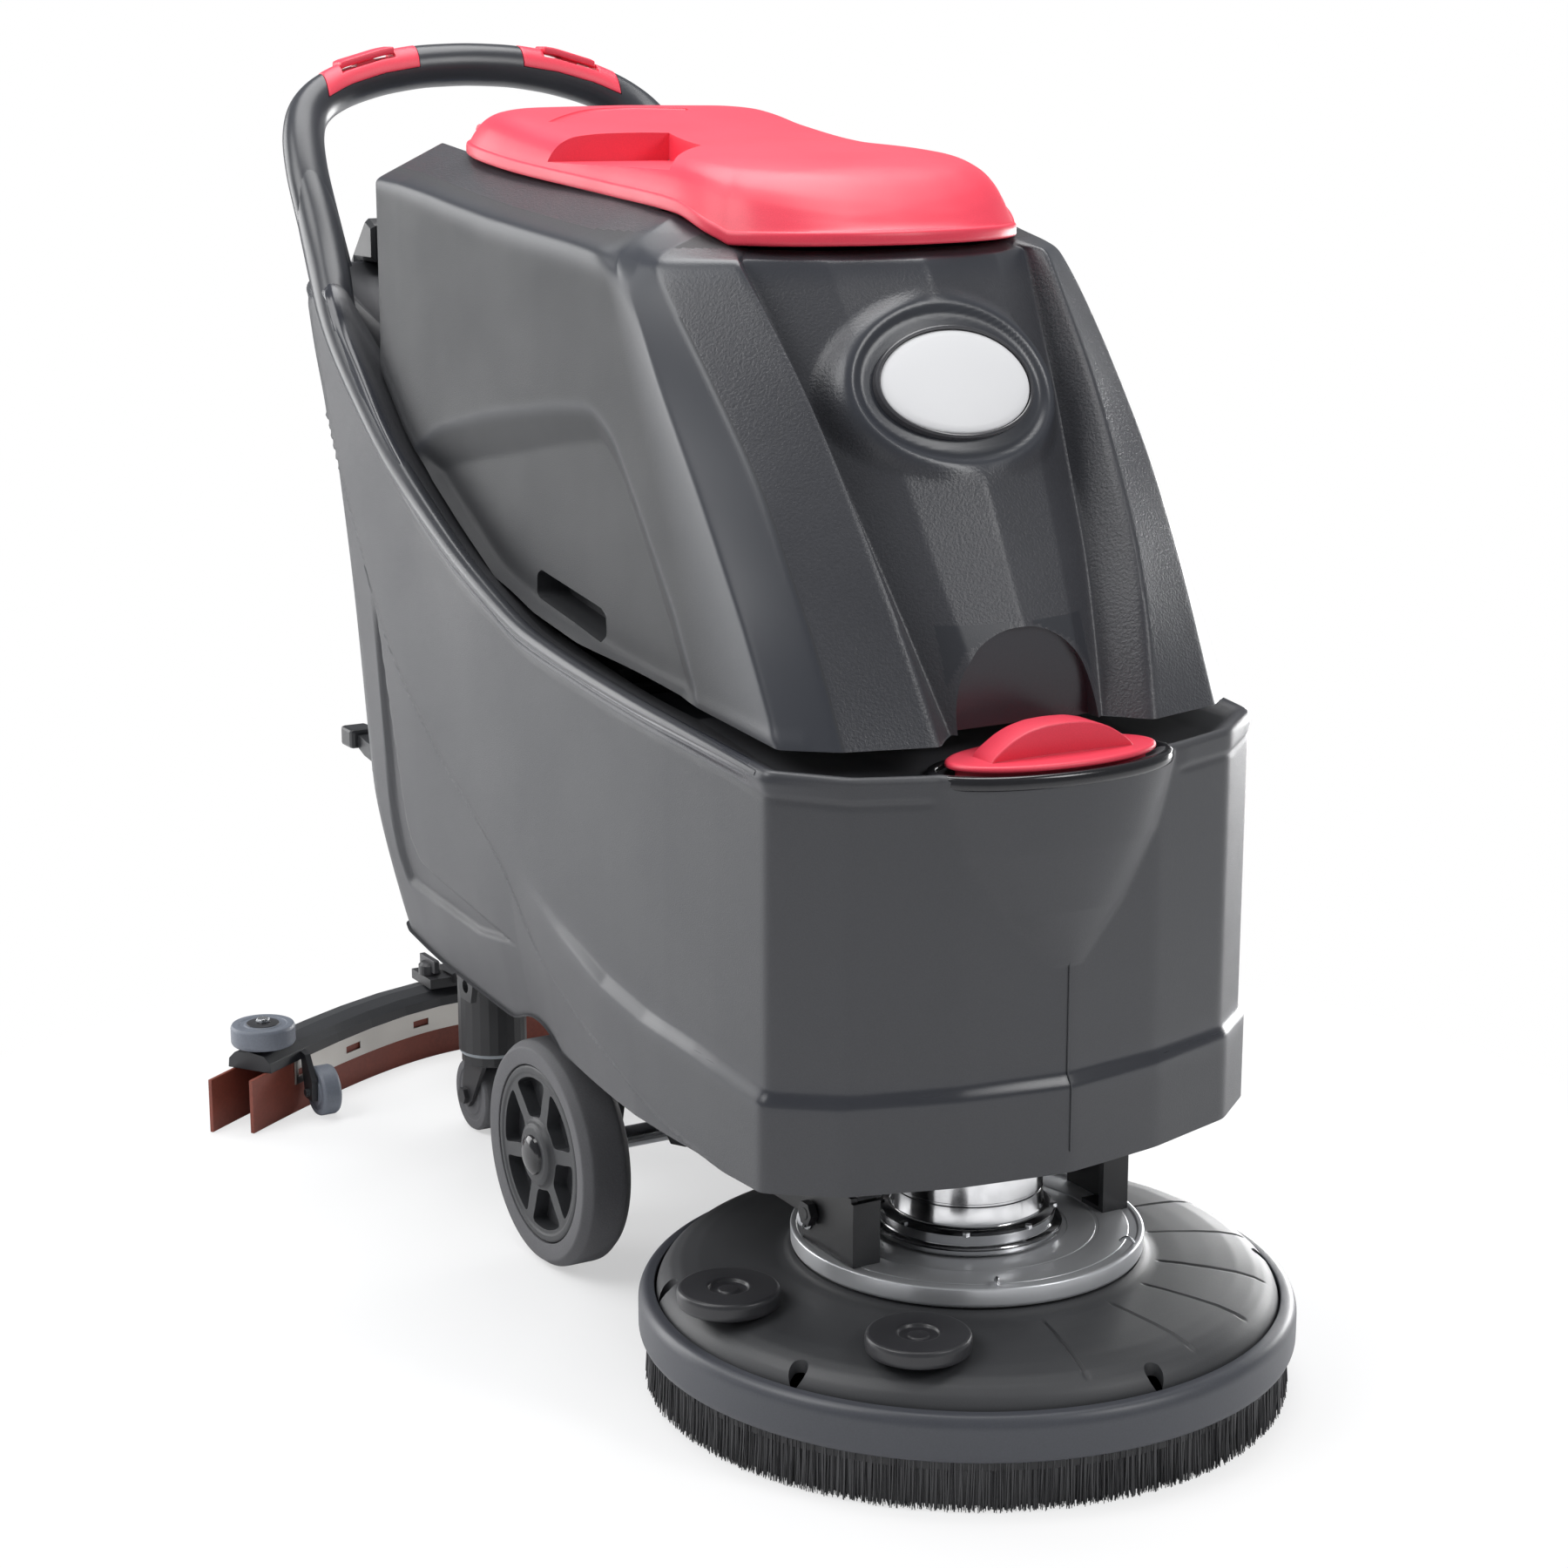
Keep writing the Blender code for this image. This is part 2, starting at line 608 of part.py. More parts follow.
def tilted_oval(name, half, high, low, top, steps=32):
    """An oval disc standing on the front panel, from low to top along the panel's normal."""
    centre = badge_centre()
    out = Vector((0, -math.cos(BADGE_TILT), math.sin(BADGE_TILT)))
    up = Vector((0, math.sin(BADGE_TILT), math.cos(BADGE_TILT)))
    rings = []
    for depth in (low, top):
        ring = []
        for step in range(steps):
            angle = 2 * math.pi * step / steps
            bow = BADGE_BOW * math.cos(angle) ** 2
            ring.append(centre + out * (depth - bow) + Vector((half * math.cos(angle), 0, 0))
                        + up * high * math.sin(angle))
        rings.append(ring)
    return skin(name, rings)


def oval_recess():
    return tilted_oval("recess", BADGE_HALF + 0.022, BADGE_HIGH + 0.016, -0.0055, 0.03)


# ---------------------------------------------------------------- lid and caps
LID_PLAN = [            # half outline of the lid, front to rear
    (0, LID_FRONT), (0.050, -0.299), (0.095, -0.281), (0.128, -0.252), (0.146, -0.215),
    (0.149, -0.173), (0.150, -0.130), (0.148, -0.050), (0.151, 0.020), (0.157, 0.110),
    (0.160, 0.190), (0.152, 0.228), (0.125, LID_REAR), (0.0, LID_REAR + 0.006),
]
LID_LOWEST = 0.914      # the lid's edge is level at the front


def lid_edge(y):
    """Underside of the lid's edge, which follows the tank's crown."""
    return max(blend(y, CROWN)[0], LID_LOWEST) + LID_CLEAR


def lid_seat():
    """Clears the tank's front corners under the lid's edge."""
    front = [(x, y) for x, y in LID_PLAN if y <= -0.13]
    front.append((0.0, front[-1][1]))
    low = [(x, y, lid_edge(y) - 0.8 * LID_CLEAR) for x, y in front]
    return skin("seat", [mirrored(low), mirrored([(x, y, z + 0.08) for x, y, z in low])], 1)


def recovery_lid():
    outline = LID_PLAN
    crown = [(-0.31, 0.914), (-0.28, 0.955), (-0.228, 0.980), (-0.13, 0.987), (-0.028, 0.990),
             (0.10, 1.002), (0.19, 1.018), (0.235, 1.026), (0.26, 1.020)]
    rings = []
    centre_y = -0.03
    for inset, rise in ((0.985, 0.0), (1.0, LID_EDGE * 0.3), (0.995, LID_EDGE * 0.8), (0.96, 0.55),
                        (0.86, 0.80), (0.60, 0.95), (0.28, 1.0)):
        ring = []
        for x, y in outline:
            px, py = x * inset, centre_y + (y - centre_y) * inset
            base = lid_edge(y)
            if rise < 0.02:
                z = base + rise
            else:
                z = base + LID_EDGE * 0.8 + rise * max(0.0, blend(py, crown)[0] - base - LID_EDGE * 0.8)
            ring.append((px, py, z))
        rings.append(mirrored(ring))
    lid = skin("recovery_lid", rings, 1)
    under = []
    for inset, drop in ((0.88, -0.060), (0.86, 0.004), (0.74, 0.55), (0.40, 0.72)):
        ring = []
        for x, y in outline:
            px, py = x * inset, centre_y + (y - centre_y) * inset
            low = lid_edge(y)
            roof = blend(py, crown)[0] - LID_WALL
            ring.append((px, py, low + drop if drop < 0.01 else low + drop * (roof - low)))
        under.append(mirrored(ring))
    hollow = skin("under", under, 1)
    cut(hollow, box("pocket_wall", (-0.135, -0.040, 0.966), (-0.008, 0.110, 1.10)))
    cut(lid, hollow)
    grip = skin("grip", [
        [(-0.060, 0.045, 0.972), (-0.020, 0.030, 0.972), (-0.020, 0.075, 0.972), (-0.060, 0.080, 0.972)],
        [(-0.125, 0.020, 1.03), (-0.018, -0.030, 1.03), (-0.018, 0.100, 1.03), (-0.112, 0.090, 1.03)],
    ])
    cut(lid, grip)
    for x in (-0.10, 0.10):
        knuckle = cylinder("knuckle", 0.008, x - 0.02, x + 0.02, "X", (0, LID_PIN_Y, LID_PIN_Z), 16)
        arm = box("arm", (x - 0.02, LID_REAR - 0.012, LID_PIN_Z - 0.003),
                  (x + 0.02, LID_PIN_Y - 0.003, LID_PIN_Z + 0.006))
        join(lid, arm, knuckle)
    cut(lid, cylinder("bore", LID_PIN_R + FIT, -0.13, 0.13, "X", (0, LID_PIN_Y, LID_PIN_Z), 16))
    return finish(lid, "recovery_lid", "red_plastic", (0, LID_PIN_Y, LID_PIN_Z))


def fill_cap():
    rings = [oval(NECK_HALF - 0.011, NECK_DEPTH - 0.004, NECK_Y, NECK_SEAT + GAP),
             oval(NECK_HALF - 0.010, NECK_DEPTH - 0.003, NECK_Y, NECK_TOP + 0.014),
             oval(NECK_HALF - 0.016, NECK_DEPTH - 0.008, NECK_Y, NECK_TOP + 0.0185)]
    cap = skin("fill_cap", rings)
    top = NECK_TOP + 0.012
    grip = prism("grip", [(-0.066, top), (0.066, top), (0.052, top + 0.013), (0.032, top + 0.023),
                          (0.012, top + 0.028), (-0.012, top + 0.028), (-0.032, top + 0.023),
                          (-0.052, top + 0.013)], "Y", NECK_Y - 0.016, NECK_Y + 0.012)
    join(cap, grip)
    plug = skin("plug", [oval(NECK_HALF - 0.023, NECK_DEPTH - 0.0165, NECK_Y, NECK_TOP - 0.012),
                         oval(NECK_HALF - 0.023, NECK_DEPTH - 0.0165, NECK_Y, NECK_TOP + 0.013)])
    join(cap, plug)
    return finish(cap, "fill_cap", "red_plastic", (0, NECK_Y, NECK_TOP))


# ---------------------------------------------------------------- handle
BAR = [                 # x, y, z of the handle bar's middle, from the crossbar to a foot
    (0.0, BAR_Y, BAR_Z), (0.050, BAR_Y, 1.047), (0.095, 0.555, 1.040), (0.135, 0.551, 1.029),
    (0.164, 0.543, 1.016), (0.184, 0.529, 1.000), (0.196, 0.508, 0.978), (0.202, 0.484, 0.948),
    (0.204, 0.458, 0.912), (0.204, 0.436, 0.876), (0.203, 0.422, 0.850),
]


def handle_path():
    """Middle of the handle bar, from the right foot over the crossbar to the left foot."""
    return [(-x, y, z) for x, y, z in BAR[:0:-1]] + BAR


def bar_top(x):
    return blend(abs(x), [(row[0], row[2]) for row in BAR[:6]])[0] + BAR_SIDE


def above_bar(name, inner, outer, side, low, high, front=0.50, rear=0.62):
    """A block over the crossbar whose underside follows the bar's top, low above it."""
    outline = [(side * inner, bar_top(inner) + low), (side * outer, bar_top(outer) + low),
               (side * outer, bar_top(outer) + high), (side * inner, bar_top(inner) + high)]
    return prism(name, outline, "Y", front, rear)


def bar_body(name):
    return tube_path(name, handle_path(), BAR_FLAT, BAR_SIDE, (0, 1, 0), 12)


def push_handle():
    bar = bar_body("push_handle")
    cut(bar, box("foot", (-0.24, 0.38, 0.80), (0.24, 0.48, RIM[-1][1] + GAP)))
    for side in (-1, 1):
        cut(bar, above_bar("seat", GRIP_IN, GRIP_OUT, side, -BAR_SIDE, 0.05))
        cut(bar, paddle_stem("well", side, -BAR_SIDE - 0.012, 0.02, FIT))
    return finish(bar, "push_handle", "tank_plastic", (0, 0.42, 0.84))


def paddle_stem(name, side, low, high, extra):
    middle = 0.5 * (PADDLE_IN + PADDLE_OUT)
    size = 0.010 + extra
    top = bar_top(middle)
    low_x, high_x = sorted((side * (middle - size), side * (middle + size)))
    return box(name, (low_x, BAR_Y - 0.008 - extra, top + low), (high_x, BAR_Y + 0.006 + extra, top + high))


def grip_cover(name, side):
    """The red cover let into the top of the crossbar."""
    cover = bar_body(name)
    combine(cover, above_bar("keep", GRIP_IN + GAP, GRIP_OUT - GAP, side, GAP - BAR_SIDE, 0.05),
            "INTERSECT")
    cut(cover, above_bar("pocket", PADDLE_IN, PADDLE_OUT, side, -0.0065, 0.05))
    cut(cover, paddle_stem("hole", side, -0.05, 0.05, FIT))
    return finish(cover, name, "red_plastic", (side * 0.11, BAR_Y, BAR_Z))


def drive_paddle(name, side):
    inner, outer = PADDLE_IN + FIT, PADDLE_OUT - FIT
    rest = -0.0065 + PRESS + GAP
    pad = above_bar(name, inner, outer, side, rest, 0.0035, BAR_Y - 0.0125, BAR_Y + 0.0105)
    bevelled(pad, 0.0015, 2)
    join(pad, paddle_stem("stem", side, -BAR_SIDE - 0.012 + PRESS + GAP, rest + 0.001, 0.0))
    middle = side * 0.5 * (PADDLE_IN + PADDLE_OUT)
    return finish(pad, name, "red_plastic", (middle, BAR_Y, bar_top(middle)))


# ---------------------------------------------------------------- control panel
PANEL_HALF = 0.150
PANEL_TOP = (0.470, 0.905)      # y, z of the upper and lower edge of the panel's face
PANEL_LOW = (0.535, 0.835)
BUTTON_R = 0.0085
BUTTON_X = (-0.105, -0.070, -0.035)
KNOB_X = 0.055
KEY_X = 0.105
SCREEN_HALF = (0.034, 0.014)


def on_panel(obj, x, down, height):
    """Moves a shape made at the world origin, facing +Z, onto the panel's face."""
    slope = Vector((0, PANEL_LOW[0] - PANEL_TOP[0], PANEL_LOW[1] - PANEL_TOP[1])).normalized()
    out = Vector((0, -slope.z, slope.y))
    start = Vector((x, *PANEL_TOP)) + slope * down + out * height
    frame = Matrix((Vector((1, 0, 0)), slope, out)).transposed().to_4x4()
    obj.data.transform(Matrix.Translation(start) @ frame)
    return obj


def panel_point(x, down):
    slope = Vector((0, PANEL_LOW[0] - PANEL_TOP[0], PANEL_LOW[1] - PANEL_TOP[1])).normalized()
    return Vector((x, *PANEL_TOP)) + slope * down


def control_panel():
    base = RIM[-1][1] + GAP
    outline = [(0.4535, base), (0.4535, 0.898), PANEL_TOP, PANEL_LOW, (0.530, 0.818),
               (0.500, 0.812), (0.4965, base)]
    panel = bevelled(prism("control_panel", outline, "X", -PANEL_HALF, PANEL_HALF), 0.004, 1)
    for x in BUTTON_X:
        cut(panel, on_panel(cylinder("hole", BUTTON_R + 0.0006, -0.012, OVER), x, 0.052, 0))
    cut(panel, on_panel(cylinder("hole", 0.0056, -0.012, OVER), KNOB_X, 0.048, 0))
    cut(panel, on_panel(cylinder("hole", 0.0056, -0.012, OVER), KEY_X, 0.048, 0))
    wide, high = SCREEN_HALF
    cut(panel, on_panel(box("hole", (-wide - GAP, -high - GAP, -0.004),
                            (wide + GAP, high + GAP, OVER)), -0.070, 0.022, 0))
    return finish(panel, "control_panel", "black_plastic", (0, *PANEL_TOP))


def status_display():
    wide, high = SCREEN_HALF
    screen = box("status_display", (-wide, -high, -0.004 + GAP), (wide, high, 0.0006))
    on_panel(screen, -0.070, 0.022, 0)
    return finish(screen, "status_display", "screen", panel_point(-0.070, 0.022))


def panel_button(name, x, slot):
    profile = [(0, -0.012 + PRESS + GAP), (BUTTON_R, -0.012 + PRESS + GAP), (BUTTON_R, 0.003),
               (BUTTON_R - 0.0015, 0.0045), (0, 0.0045)]
    button = on_panel(turned(name, profile), x, 0.052, 0)
    return finish(button, name, slot, panel_point(x, 0.052))


def water_knob():
    profile = [(0, -0.011), (0.005, -0.011), (0.005, GAP), (0.016, GAP), (0.016, 0.008),
               (0.0135, 0.014), (0, 0.0145)]
    knob = turned("water_knob", profile)
    ridge = box("ridge", (-0.002, -0.013, 0.012), (0.002, 0.013, 0.0175))
    join(knob, ridge)
    on_panel(knob, KNOB_X, 0.048, 0)
    return finish(knob, "water_knob", "blue_plastic", panel_point(KNOB_X, 0.048))


def key_switch():
    profile = [(0, -0.011), (0.005, -0.011), (0.005, GAP), (0.010, GAP), (0.010, 0.004), (0, 0.004)]
    key = turned("key_switch", profile)
    blade = box("blade", (-0.0012, -0.009, 0.003), (0.0012, 0.009, 0.020))
    join(key, blade)
    on_panel(key, KEY_X, 0.048, 0)
    return finish(key, "key_switch", "steel", panel_point(KEY_X, 0.048))


# ---------------------------------------------------------------- inside the tanks
BATTERY = (0.165, 0.176, 0.225)         # half width, depth, height


def battery(name, front):
    half, depth, height = BATTERY
    low = BAY_FLOOR + GAP
    body = bevelled(box(name, (-half, front, low), (half, front + depth, low + height)), 0.006, 1)
    for x in (-0.110, 0.110):
        post = cylinder("post", 0.009, low + height - WELD, low + height + 0.012, "Z",
                        (x, front + 0.03, 0), 12)
        join(body, post)
    return finish(body, name, "battery_case", (0, front + depth / 2, low))


def vacuum_motor():
    low = 0.36 + GAP
    profile = [(0, low), (0.050, low), (0.055, low + 0.008), (0.055, low + 0.052),
               (0.050, low + 0.058), (0.040, low + 0.062), (0.040, low + 0.118),
               (0.034, low + 0.128), (0.014, low + 0.130), (0.014, low + 0.140), (0, low + 0.140)]
    motor = turned("vacuum_motor", profile, "Z", (0, 0.2935, 0), 18)
    return finish(motor, "vacuum_motor", "black_plastic", (0, 0.2935, low))


FLOAT_Y = -0.020
FLOAT_R = 0.0185
FLOAT_RISE = 0.045
TANK_FLOOR = 0.640


def float_cage():
    low = TANK_FLOOR + GAP
    high = low + 2 * FLOAT_R + FLOAT_RISE + 0.008
    profile = [(FLOAT_R + 0.002, low), (FLOAT_R + 0.006, low), (FLOAT_R + 0.006, high),
               (0.012, high), (0.012, high - 0.004), (FLOAT_R + 0.002, high - 0.004)]
    cage = turned("float_cage", profile, "Z", (0, FLOAT_Y, 0), 24)
    cut(cage, box("slot", (-0.05, FLOAT_Y - 0.007, low + 0.012), (0.05, FLOAT_Y + 0.007, high - 0.014)))
    cut(cage, box("slot", (-0.007, FLOAT_Y - 0.05, low + 0.012), (0.007, FLOAT_Y + 0.05, high - 0.014)))
    return finish(cage, "float_cage", "tank_dark", (0, FLOAT_Y, low))


def float_ball():
    low = TANK_FLOOR + GAP
    profile = []
    for step in range(9):
        angle = math.pi * step / 8
        radius = 0 if step in (0, 8) else FLOAT_R * math.sin(angle)
        profile.append((radius, low + FLOAT_R - FLOAT_R * math.cos(angle)))
    ball = turned("float_ball", profile, "Z", (0, FLOAT_Y, 0), 20)
    return finish(ball, "float_ball", "white_plate", (0, FLOAT_Y, low + FLOAT_R))


def badge_bezel():
    bezel = tilted_oval("badge_bezel", BADGE_HALF, BADGE_HIGH, -0.005 + GAP, 0.0015)
    cut(bezel, tilted_oval("inside", BADGE_HALF - 0.003, BADGE_HIGH - 0.003, -0.0030, 0.01))
    return finish(bezel, "badge_bezel", "black_plastic", badge_centre())


def badge_plate():
    plate = tilted_oval("badge_plate", BADGE_HALF - 0.003 - GAP, BADGE_HIGH - 0.003 - GAP,
                        -0.0030 + GAP, 0.0010)
    return finish(plate, "badge_plate", "white_plate", badge_centre())


def hinge_rod(name, radius, half, y, z):
    rod = cylinder(name, radius, -half, half, "X", (0, y, z), 16)
    return finish(rod, name, "steel", (0, y, z))


# ---------------------------------------------------------------- frame and wheels
FRAME_TOP = BODY_BASE - GAP
EAR_X = 0.130           # frame ears outside the lift arms
EAR_T = 0.006
ARM_X = 0.1215          # lift arms
ARM_T = 0.007
PIN_R = 0.005
STEM_R = 0.008          # swivel stem of a caster


def plate_x(name, x, thick, outline):
    return prism(name, outline, "X", x - thick / 2, x + thick / 2)


def chassis_frame():
    frame = box("chassis_frame", (-0.085, -0.235, 0.196), (0.085, -0.185, FRAME_TOP))
    parts = []
    for side in (-1, 1):
        low, high = sorted((side * 0.078, side * 0.142))
        parts.append(box("rail", (low, -0.240, 0.200), (high, 0.320, FRAME_TOP)))
        parts.append(plate_x("ear", side * EAR_X, EAR_T, [
            (-0.205, 0.205), (-0.150, 0.142), (-0.122, 0.136), (-0.104, 0.150), (-0.085, 0.205)]))
        parts.append(plate_x("axle_plate", side * 0.143, 0.008, [
            (-0.060, 0.205), (-0.030, 0.085), (0.020, 0.085), (0.050, 0.205)]))
        parts.append(cylinder("socket", 0.034, 0.094, 0.208, "Z", (side * CASTER_X, CASTER_Y, 0), 24))
        parts.append(plate_x("rear_ear", side * 0.049, 0.008, [
            (0.270, 0.205), (0.330, 0.135), (0.362, 0.135), (0.362, 0.165), (0.320, 0.205)]))
        parts.append(plate_x("pedal_ear", side * 0.1440, 0.006, [
            (0.255, 0.205), (0.268, 0.160), (0.292, 0.160), (0.310, 0.205)]))
    parts.append(box("rear_cross", (-0.085, 0.250, 0.198), (0.085, 0.315, FRAME_TOP)))
    join(frame, *parts)
    for side in (-1, 1):
        cut(frame, cylinder("bore", STEM_R + FIT, 0.09, 0.150, "Z", (side * CASTER_X, CASTER_Y, 0), 16))
        low, high = sorted((side * 0.125, side * 0.138))
        cut(frame, cylinder("bore", PIN_R + FIT, low, high, "X", (0, ARM_Y, ARM_Z), 14))
        low, high = sorted((side * 0.130, side * 0.155))
        cut(frame, cylinder("bore", AXLE_R + GAP, low, high, "X", (0, WHEEL_Y, WHEEL_R), 20))
        cut(frame, cylinder("bore", 0.006 + FIT, *sorted((side * 0.04, side * 0.06)), "X",
                            (0, PIVOT_Y, PIVOT_Z), 14))
        cut(frame, cylinder("bore", 0.006 + FIT, *sorted((side * 0.138, side * 0.150)), "X",
                            (0, PEDAL_Y, PEDAL_Z), 14))
    return finish(frame, "chassis_frame", "dark_steel", (0, 0, 0.2))


PEDAL_Y = 0.280
PEDAL_Z = 0.174
PEDAL_X = 0.158


def deck_pedal():
    arm = plate_x("deck_pedal", PEDAL_X, 0.008, [
        (0.268, 0.168), (0.280, 0.160), (0.300, 0.166), (0.400, 0.176), (0.470, 0.196),
        (0.470, 0.206), (0.396, 0.190), (0.292, 0.184), (0.275, 0.186)])
    pin = cylinder("pin", 0.006, 0.1412, PEDAL_X + 0.004, "X", (0, PEDAL_Y, PEDAL_Z), 16)
    pad = bevelled(box("pad", (PEDAL_X - 0.030, 0.452, 0.196), (PEDAL_X + 0.030, 0.505, 0.206)), 0.003, 2)
    join(arm, pin, pad)
    return finish(arm, "deck_pedal", "black_plastic", (PEDAL_X, PEDAL_Y, PEDAL_Z))


LEVER_X = -0.165
LEVER_Y = 0.398
LEVER_Z = 0.372


def lever_ears(tank):
    for x in (LEVER_X - 0.018, LEVER_X + 0.018):
        join(tank, plate_x("lever_ear", x, 0.008, [
            (0.340, 0.345), (0.390, 0.358), (0.408, 0.364), (0.410, 0.380), (0.398, 0.386),
            (0.345, 0.400)]))
    bore = cylinder("bore", PIN_R + FIT, LEVER_X - 0.03, LEVER_X + 0.03, "X", (0, LEVER_Y, LEVER_Z), 14)
    return cut(tank, bore)


def squeegee_lever():
    lever = cylinder("squeegee_lever", 0.011, LEVER_X - 0.0125, LEVER_X + 0.0125, "X",
                     (0, LEVER_Y, LEVER_Z), 20)
    arm = plate_x("arm", LEVER_X, 0.012, [
        (0.398, 0.364), (0.462, 0.372), (0.486, 0.380), (0.486, 0.392), (0.462, 0.388), (0.398, 0.381)])
    grip = bevelled(box("grip", (LEVER_X - 0.014, 0.476, 0.376), (LEVER_X + 0.014, 0.506, 0.396)), 0.004, 2)
    pin = cylinder("pin", PIN_R, LEVER_X - 0.022, LEVER_X + 0.022, "X", (0, LEVER_Y, LEVER_Z), 14)
    join(lever, arm, grip, pin)
    return finish(lever, "squeegee_lever", "black_plastic", (LEVER_X, LEVER_Y, LEVER_Z))


def wheel_axle():
    axle = cylinder("wheel_axle", AXLE_R, -0.203, 0.203, "X", (0, WHEEL_Y, WHEEL_R), 20)
    return finish(axle, "wheel_axle", "steel", (0, WHEEL_Y, WHEEL_R))


TYRE_IN = 0.081
TYRE_STEPS = 32


def tyre(name, side):
    half = WHEEL_W / 2
    profile = [(TYRE_IN, -half + 0.002), (0.097, -half), (WHEEL_R, -half + 0.009),
               (WHEEL_R, half - 0.009), (0.097, half), (TYRE_IN, half - 0.002)]
    body = turned(name, profile, "X", (side * WHEEL_X, WHEEL_Y, WHEEL_R), TYRE_STEPS)
    return finish(body, name, "tyre_rubber", (side * WHEEL_X, WHEEL_Y, WHEEL_R))


def wheel_rim(name, side):
    half = WHEEL_W / 2
    out = TYRE_IN * math.cos(math.pi / TYRE_STEPS) - GAP
    profile = [(AXLE_R + FIT, -half), (0.030, -half), (0.034, -half + 0.014), (0.070, -half + 0.014),
               (0.074, -half + 0.003), (out, -half + 0.002), (out, half - 0.002),
               (0.030, half - 0.004), (0.027, half + 0.001), (AXLE_R + FIT, half + 0.003)]
    centre = (side * WHEEL_X, WHEEL_Y, WHEEL_R)
    profile = [(r, side * h) for r, h in profile]
    rim = turned(name, profile, "X", centre, 24)
    for spoke in range(6):
        angle = 2 * math.pi * spoke / 6
        outline = []
        for radius, spread in ((0.035, 0.20), (0.066, 0.36), (0.066, -0.36), (0.035, -0.20)):
            turn = angle + spread
            outline.append((WHEEL_Y + radius * math.cos(turn), WHEEL_R + radius * math.sin(turn)))
        low, high = sorted((side * (WHEEL_X + half - 0.011), side * (WHEEL_X + half + 0.01)))
        cut(rim, prism("pocket", outline, "X", low, high))
    return finish(rim, name, "tank_dark", centre)


def caster_fork(name, side):
    x = side * CASTER_X
    y = CASTER_Y + CASTER_TRAIL
    crown = turned(name, [(0, 0.078), (0.024, 0.078), (0.031, 0.081), (0.031, 0.0925), (0.010, 0.0925),
                          (STEM_R, 0.094), (STEM_R, 0.145), (0, 0.145)], "Z", (x, CASTER_Y, 0), 16)
    parts = []
    inside = CASTER_W / 2 + FIT
    for flank in (-1, 1):
        low, high = sorted((x + flank * inside, x + flank * (inside + 0.0045)))
        parts.append(prism("leg", [
            (CASTER_Y - 0.020, 0.084), (CASTER_Y + 0.012, 0.036), (y - 0.004, 0.026), (y + 0.010, 0.030),
            (y + 0.008, 0.050), (CASTER_Y + 0.024, 0.084)], "X", low, high))
    parts.append(cylinder("pin", 0.004, x - inside - 0.008, x + inside + 0.008, "X",
                          (0, y, CASTER_R), 12))
    for flank in (-1, 1):
        low, high = sorted((x + flank * (inside + 0.003), x + flank * (inside + 0.0095)))
        parts.append(cylinder("nut", 0.0085, low, high, "X", (0, y, CASTER_R), 6))
    join(crown, *parts)
    return finish(crown, name, "dark_steel", (x, CASTER_Y, 0.09))


def caster_wheel(name, side):
    half = CASTER_W / 2
    profile = [(0.004 + FIT, -half), (0.014, -half), (CASTER_R - 0.003, -half + 0.002),
               (CASTER_R, -half + 0.006), (CASTER_R, half - 0.006), (CASTER_R - 0.003, half - 0.002),
               (0.014, half), (0.004 + FIT, half)]
    centre = (side * CASTER_X, CASTER_Y + CASTER_TRAIL, CASTER_R)
    wheel = turned(name, profile, "X", centre, 20)
    return finish(wheel, name, "tyre_rubber", centre)


# ---------------------------------------------------------------- brush deck
DECK_STEPS = 36
COVER_TOP = PLATE_Z - GAP
PLATE_FACE = PLATE_Z + 0.0155
KNOBS = {"deck_knob_side": (-0.223, -0.390), "deck_knob_front": (-0.141, -0.540)}
KNOB_R = 0.041


def deck_cover():
    profile = [(0.050, COVER_TOP), (0.135, COVER_TOP), (0.139, 0.105), (0.200, 0.101), (0.235, 0.097),
               (0.249, 0.089), (0.256, 0.078), (0.256, 0.050), (0.250, 0.050), (0.250, 0.074),
               (0.243, 0.083), (0.228, 0.089), (0.150, 0.093), (0.050, 0.095)]
    cover = turned("deck_cover", profile, "Z", (0, DECK_Y, 0), DECK_STEPS)
    for x, y in KNOBS.values():
        cut(cover, cylinder("hole", 0.005 + FIT, 0.080, 0.12, "Z", (x, y, 0), 14))
    for degrees in (-72, -40, -12, 168, 200):
        angle = math.radians(degrees)
        key = cylinder("key", 0.005, 0.060, 0.11, "Z",
                       (0.247 * math.cos(angle), DECK_Y + 0.247 * math.sin(angle), 0), 10)
        cut(cover, key)
    return finish(cover, "deck_cover", "black_plastic", (0, DECK_Y, 0.08))


def bumper_ring():
    inner = 0.256 + GAP
    profile = [(inner, 0.042), (RING_R - 0.004, 0.042), (RING_R, 0.046), (RING_R, 0.072),
               (RING_R - 0.006, 0.0795), (inner, 0.0795)]
    ring = turned("bumper_ring", profile, "Z", (0, DECK_Y, 0), DECK_STEPS)
    return finish(ring, "bumper_ring", "ring_grey", (0, DECK_Y, 0.06))


def bristle_skirt():
    profile = [(0.253, 0.0), (0.263, 0.0), (0.262, 0.0416), (0.254, 0.0416)]
    skirt = turned("bristle_skirt", profile, "Z", (0, DECK_Y, 0), DECK_STEPS)
    return finish(skirt, "bristle_skirt", "bristle", (0, DECK_Y, 0.04))


def motor_plate():
    profile = [(0.020, PLATE_Z), (PLATE_R - 0.001, PLATE_Z), (PLATE_R, PLATE_Z + 0.0155),
               (PLATE_R - 0.0015, PLATE_Z + 0.017), (PLATE_R - 0.0045, PLATE_Z + 0.017),
               (PLATE_R - 0.0055, PLATE_FACE), (0.020, PLATE_FACE)]
    plate = turned("motor_plate", profile, "Z", (0, DECK_Y, 0), DECK_STEPS)
    return finish(plate, "motor_plate", "aluminium", (0, DECK_Y, PLATE_Z))


